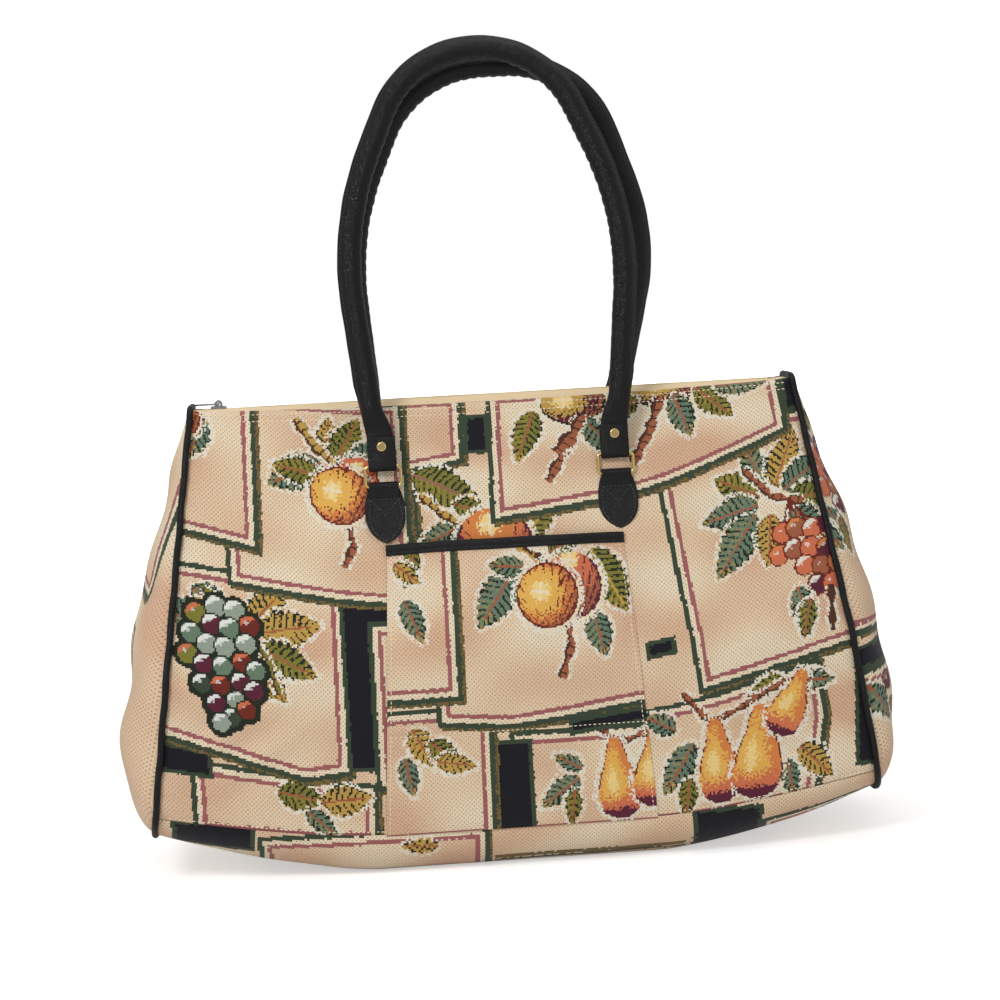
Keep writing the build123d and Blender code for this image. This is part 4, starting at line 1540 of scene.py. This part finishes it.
class BAG_OT_pocket(bpy.types.Operator):
    """Makes the front pocket and the leather binding along its mouth"""

    bl_idname = "bag.pocket"
    bl_label = "Pocket"

    def execute(self, context):
        columns, rows = POCKET_POINTS
        heights = np.linspace(BASE_SEAM_Z, POCKET_TOP - 0.8, rows)
        share, z = np.meshgrid(np.linspace(-1, 1, columns), heights, indexing="ij")
        grid = pocket_points(share, z, 0.0)
        climb = np.cumsum(np.linalg.norm(np.diff(grid, axis=1, prepend=grid[:, :1]), axis=2), axis=1)
        uv = np.stack([grid[:, :, 0].ravel(), climb.ravel() + BASE_SEAM_Z], axis=1)
        obj = printed("pocket_cloth", grid.reshape(-1, 3), grid_faces(columns, rows), uv, pocket_print, 15)
        dress(obj, tapestry(), "bag", ["pocket_panel"])
        profile = [
            (-7.0, 0.2), (-7.0, 0.8), (-6.3, 1.2), (-5.3, 1.1), (-4.7, 0.75), (-4.1, 1.1), (-2.6, 1.75),
            (-0.8, 1.65), (0.3, 0.9), (0.6, -0.2), (0.2, -1.1), (-1.2, -1.4), (-5.0, -1.35), (-6.0, -1.1),
        ]
        share = np.repeat(np.linspace(-1.012, 1.012, 150)[:, None], len(profile), axis=1)
        drop = np.repeat(np.array([[p[0] for p in profile]]), 150, axis=0)
        lift = np.repeat(np.array([[p[1] for p in profile]]), 150, axis=0)
        lift = lift + 0.12 * np.sin(share * 61)
        grid = pocket_points(np.clip(share, -1, 1), POCKET_TOP + drop, lift)
        grid[:, :, 0] = share * POCKET_HALF_TOP
        faces = grid_faces(150, len(profile))
        obj = plain_mesh("pocket_edge", grid.reshape(-1, 3), faces)
        dress(obj, leather(), "bag", ["pocket_binding"])
        return {"FINISHED"}


class BAG_OT_zipper(bpy.types.Operator):
    """Makes the ribbed tapes and the rows of teeth, and finishes the slider, pull and stops"""

    bl_idname = "bag.zipper"
    bl_label = "Zipper"

    def execute(self, context):
        nylon = plain("Nylon", srgb(214, 188, 142), 0.45)
        tape = fabric("Zipper tape", srgb(240, 214, 172), 0.85, 500.0, 0.5, from_uv=False)
        for name, side in (("front", -1), ("back", 1)):
            low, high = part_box("zipper_tape_" + name)
            along = np.linspace(low[0] / MM + 0.2, high[0] / MM - 0.2, TAPE_POINTS[0])
            x, share = np.meshgrid(along, np.linspace(0, 1, TAPE_POINTS[1]), indexing="ij")
            inner = 2.2 - 2.1 * smooth(abs(x), COIL_END + 2.2, COIL_END + 4.2)
            across = inner + (ZIP_HALF + 0.6 - inner) * share
            ribs = 0.2 * np.sin(across * 2 * math.pi / 2.2)
            z = TAPE_Z + 0.45 + ribs + 0.25 * ripple(x, across * 0, 60, 31 + side)
            z = z - edge_dip(x) * smooth(across, 3.5, ZIP_HALF)
            grid = np.stack([x, side * across, z], axis=-1)
            obj = plain_mesh("tape_" + name, grid.reshape(-1, 3), grid_faces(*TAPE_POINTS, flip=side < 0))
            dress(obj, tape, "bag", ["zipper_tape_" + name])
            row = [(x, side * 1.85, TAPE_Z + 0.35) for x in np.linspace(-COIL_END + 1, COIL_END - 1, 200)]
            obj = pieces_along("teeth_" + name, [row], nylon, 1.5, 1.15, 2.3, 1.9, 0.02)
            dress(obj, nylon, "bag", ["zipper_coil_" + name])
        nickel = metal("Nickel", srgb(176, 176, 178), 0.2)
        for node in ("zipper_slider", "zipper_pull", "zipper_stops"):
            coat(node, nickel)
        return {"FINISHED"}


class BAG_OT_tabs(bpy.types.Operator):
    """Makes the four soft-edged leather tabs that hold the rings"""

    bl_idname = "bag.tabs"
    bl_label = "Tabs"

    def execute(self, context):
        for end in ("front_left", "front_right", "back_left", "back_right"):
            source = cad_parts["tab_" + end]
            obj = bpy.data.objects.new("tab_leather_" + end, source.data.copy())
            context.scene.collection.objects.link(obj)
            remesh = obj.modifiers.new("Remesh", "REMESH")
            remesh.mode = "VOXEL"
            remesh.voxel_size = 0.00042
            ease = obj.modifiers.new("Ease", "SMOOTH")
            ease.factor = 0.6
            ease.iterations = 6
            context.view_layer.update()
            made = obj.evaluated_get(context.evaluated_depsgraph_get())
            mesh = bpy.data.meshes.new_from_object(made)
            obj.modifiers.clear()
            obj.data = mesh
            mesh.name = obj.name
            mesh.shade_smooth()
            if not mesh.polygons:
                raise RuntimeError(f"{obj.name} came out empty")
            dress(obj, leather(), "bag", ["tab_" + end])
        return {"FINISHED"}


class BAG_OT_handles(bpy.types.Operator):
    """Makes the two rolled handles with their sewn edge and folded ends"""

    bl_idname = "bag.handles"
    bl_label = "Handles"

    def execute(self, context):
        for name, front in (("front", True), ("back", False)):
            skin = tube_mesh("skin", tube(handle_line(front), handle_section))
            folds = [tube_mesh("fold", strap(side, front)) for side in (-1, 1)]
            for part in (skin, *folds):
                outward(part)
                part.data.shade_smooth()
            obj = join("handle_leather_" + name, [skin, *folds])
            dress(obj, leather(), name + "_handle", ["handle_" + name])
        return {"FINISHED"}


class BAG_OT_metal(bpy.types.Operator):
    """Finishes the rings and rivets in pale brass, and the cords inside the handles"""

    bl_idname = "bag.metal"
    bl_label = "Rings and rivets"

    def execute(self, context):
        brass = metal("Pale brass", srgb(214, 190, 128), 0.18)
        cord = plain("Filler cord", (0.32, 0.27, 0.2), 0.9)
        for end in ("front_left", "front_right", "back_left", "back_right"):
            coat("ring_" + end, brass)
            coat("rivet_" + end, brass)
        for name in ("front", "back"):
            coat("handle_core_" + name, cord)
        return {"FINISHED"}


class BAG_OT_stitching(bpy.types.Operator):
    """Sews the rows of thread on the cloth, tabs and handles"""

    bl_idname = "bag.stitching"
    bl_label = "Stitching"

    def execute(self, context):
        look = context.scene.bag_stitches
        thick = look.thick / MM
        fine = (look.pitch / MM, STITCH, thick, thick)
        pale = plain("Pale thread", tuple(look.thread), 0.8)
        dark = plain("Dark thread", (0.035, 0.035, 0.038), 0.45)
        cloth = surface_of(bpy.data.objects["front_cloth"])
        rear = surface_of(bpy.data.objects["back_cloth"])
        pocket = surface_of(bpy.data.objects["pocket_cloth"])
        rows = []
        for below in (3.0, 7.6):
            row = [(x, 0.0, TOP_Z - below - float(edge_dip(x))) for x in np.linspace(-210, 210, 300)]
            rows.append(laid_on(cloth, row, THREAD_LIFT))
            rows.append(laid_on(rear, row, THREAD_LIFT, (0, -1, 0)))
        sew("thread_top", rows, pale, "bag", fine)
        edge = [(x, 0.0, float(seam_z(x)) + 2.4) for x in np.linspace(-246, 246, 320)]
        sew("thread_base", [laid_on(cloth, edge, THREAD_LIFT)], pale, "bag", fine)
        reach = pocket_half(POCKET_FLOOR) - 3
        rows = [laid_on(pocket, straight(-reach, POCKET_FLOOR, reach, POCKET_FLOOR), THREAD_LIFT)]
        for side in (-1, 1):
            foot = side * (pocket_half(BASE_SEAM_Z) - 2.6)
            top = side * (pocket_half(POCKET_TOP) - 2.6)
            row = straight(foot, BASE_SEAM_Z + 3, top, POCKET_TOP - 8)
            rows.append(laid_on(pocket, row, THREAD_LIFT))
        sew("thread_pocket", rows, pale, "bag", fine)
        rows = []
        leaf = [(10.2, -9), (11.0, -14), (11.8, -20), (10.6, -26), (7.6, -31), (3.6, -35.4), (0, -37)]
        for end, way in (("front_left", 1), ("front_right", 1), ("back_left", -1), ("back_right", -1)):
            tree = surface_of(bpy.data.objects["tab_leather_" + end])
            x = TAB_X * (-1 if end.endswith("left") else 1)
            low, high = TAB_BAR_Z - 19, TAB_BAR_Z - 9
            left = [(x - a, 0.0, TAB_BAR_Z + b) for a, b in leaf]
            right = [(x + a, 0.0, TAB_BAR_Z + b) for a, b in leaf[-2::-1]]
            line = np.array(left + right)
            border = cut(line, 0, lengths_of(line)[-1], 70)
            bar = straight(x - 10, TAB_BAR_Z - 8, x + 10, TAB_BAR_Z - 8)
            vee = straight(x - 9, high, x, low) + straight(x, low, x + 9, high)
            for row in (border, bar, vee):
                rows.append(laid_on(tree, row, TAB_THREAD_LIFT, (0, way, 0)))
        rows = [row for row in rows if len(row) > 1]
        sew("thread_tabs", rows, dark, "bag", (2.6, 2.0, 0.75, 0.8))
        for name, front in (("front", True), ("back", False)):
            grid = tube(handle_line(front), handle_section)
            seam = grid[22:-22, 3] + (grid[22:-22, 3] - grid[22:-22].mean(axis=1)) * 0.01
            sizes = (3.2, 2.3, 0.7, 0.7)
            sew("thread_handle_" + name, [seam], dark, name + "_handle", sizes)
        return {"FINISHED"}


class BAG_OT_stage(bpy.types.Operator):
    """Sets the pale floor, the soft lights and the camera"""

    bl_idname = "bag.stage"
    bl_label = "Stage"

    def execute(self, context):
        look = context.scene.bag_stage
        half = FLOOR_HALF
        square = [(-half, -half, 0), (half, -half, 0), (half, half, 0), (-half, half, 0)]
        floor = plain_mesh("floor", square, [(0, 1, 2, 3)])
        ground = plain("Floor", tuple(look.floor), 0.85)
        shader = ground.node_tree.nodes["Principled BSDF"]
        shader.inputs["Emission Color"].default_value = (1, 1, 1, 1)
        node, link = ground.node_tree.nodes.new, ground.node_tree.links.new
        eye = node("ShaderNodeLightPath")
        glow = node("ShaderNodeMath")
        place = node("ShaderNodeTexCoord")
        reach = node("ShaderNodeVectorMath")
        fade = node("ShaderNodeMapRange")
        glow.operation = "MULTIPLY"
        reach.operation = "LENGTH"
        fade.inputs["From Min"].default_value = FLOOR_GLOW_NEAR[0]
        fade.inputs["From Max"].default_value = FLOOR_GLOW_FAR[0]
        fade.inputs["To Min"].default_value = FLOOR_GLOW_NEAR[1]
        fade.inputs["To Max"].default_value = FLOOR_GLOW_FAR[1]
        link(place.outputs["Object"], reach.inputs[0])
        link(reach.outputs["Value"], fade.inputs["Value"])
        link(eye.outputs["Is Camera Ray"], glow.inputs[0])
        link(fade.outputs["Result"], glow.inputs[1])
        link(glow.outputs[0], shader.inputs["Emission Strength"])
        floor.data.materials.append(ground)
        for name, spot, size, power in LIGHTS:
            data = bpy.data.lights.new(name, "AREA")
            data.size = size
            data.energy = power * look.light
            lamp = bpy.data.objects.new(name, data)
            lamp.location = spot
            lamp.rotation_euler = (Vector(LIGHTS_AIM) - Vector(spot)).to_track_quat("-Z", "Y").to_euler()
            context.scene.collection.objects.link(lamp)
        world = bpy.data.worlds.new("Studio")
        world.use_nodes = True
        node, link = world.node_tree.nodes.new, world.node_tree.links.new
        sky = world.node_tree.nodes["Background"]
        seen = node("ShaderNodeLightPath")
        bright = node("ShaderNodeMapRange")
        bright.inputs["To Min"].default_value = WORLD_LIGHT * look.light
        bright.inputs["To Max"].default_value = 1.0
        link(seen.outputs["Is Camera Ray"], bright.inputs["Value"])
        link(bright.outputs["Result"], sky.inputs[1])
        sky.inputs[0].default_value = (1, 1, 1, 1)
        context.scene.world = world
        data = bpy.data.cameras.new("camera")
        data.lens = LENS
        camera = bpy.data.objects.new("camera", data)
        level = math.cos(CAMERA_LIFT)
        away = Vector((
            math.sin(CAMERA_AROUND) * level, -math.cos(CAMERA_AROUND) * level, math.sin(CAMERA_LIFT),
        ))
        camera.location = Vector(CAMERA_TARGET) + away * CAMERA_AWAY
        turn = (-away).to_track_quat("-Z", "Y") @ Euler((0, 0, CAMERA_ROLL)).to_quaternion()
        camera.rotation_mode = "QUATERNION"
        camera.rotation_quaternion = turn
        context.scene.collection.objects.link(camera)
        context.scene.camera = camera
        context.scene.view_settings.view_transform = "Standard"
        return {"FINISHED"}


class BAG_PT_panel(bpy.types.Panel):
    """Lists the bag's pieces and settings"""

    bl_idname = "BAG_PT_panel"
    bl_label = "Tapestry bag"
    bl_space_type = "VIEW_3D"
    bl_region_type = "UI"
    bl_category = "Bag"

    def draw(self, context):
        for group, _ in GROUPS:
            settings = getattr(context.scene, group)
            box = self.layout.box()
            for name in settings.bl_rna.properties.keys():
                if name not in ("rna_type", "name"):
                    box.prop(settings, name)
        for operator in OPERATORS:
            self.layout.operator(operator.bl_idname)


GROUPS = (
    ("bag_cloth", BagCloth), ("bag_leather", BagLeather), ("bag_handles", BagHandles),
    ("bag_stitches", BagStitches), ("bag_stage", BagStage),
)
OPERATORS = (
    BAG_OT_body, BAG_OT_piping, BAG_OT_pocket, BAG_OT_zipper, BAG_OT_tabs, BAG_OT_handles, BAG_OT_metal,
    BAG_OT_stitching, BAG_OT_stage,
)


def register():
    """Register the settings, operators and panel."""
    for name, group in GROUPS:
        bpy.utils.register_class(group)
        setattr(bpy.types.Scene, name, bpy.props.PointerProperty(type=group))
    for operator in OPERATORS:
        bpy.utils.register_class(operator)
    bpy.utils.register_class(BAG_PT_panel)


def unregister():
    """Take the panel, operators and settings away again."""
    bpy.utils.unregister_class(BAG_PT_panel)
    for operator in reversed(OPERATORS):
        bpy.utils.unregister_class(operator)
    for name, group in reversed(GROUPS):
        delattr(bpy.types.Scene, name)
        bpy.utils.unregister_class(group)


def main():
    """Build every piece in order."""
    register()
    bpy.ops.bag.body()
    bpy.ops.bag.piping()
    bpy.ops.bag.pocket()
    bpy.ops.bag.zipper()
    bpy.ops.bag.tabs()
    bpy.ops.bag.handles()
    bpy.ops.bag.metal()
    bpy.ops.bag.stitching()
    bpy.ops.bag.stage()


if __name__ == "__main__":
    main()
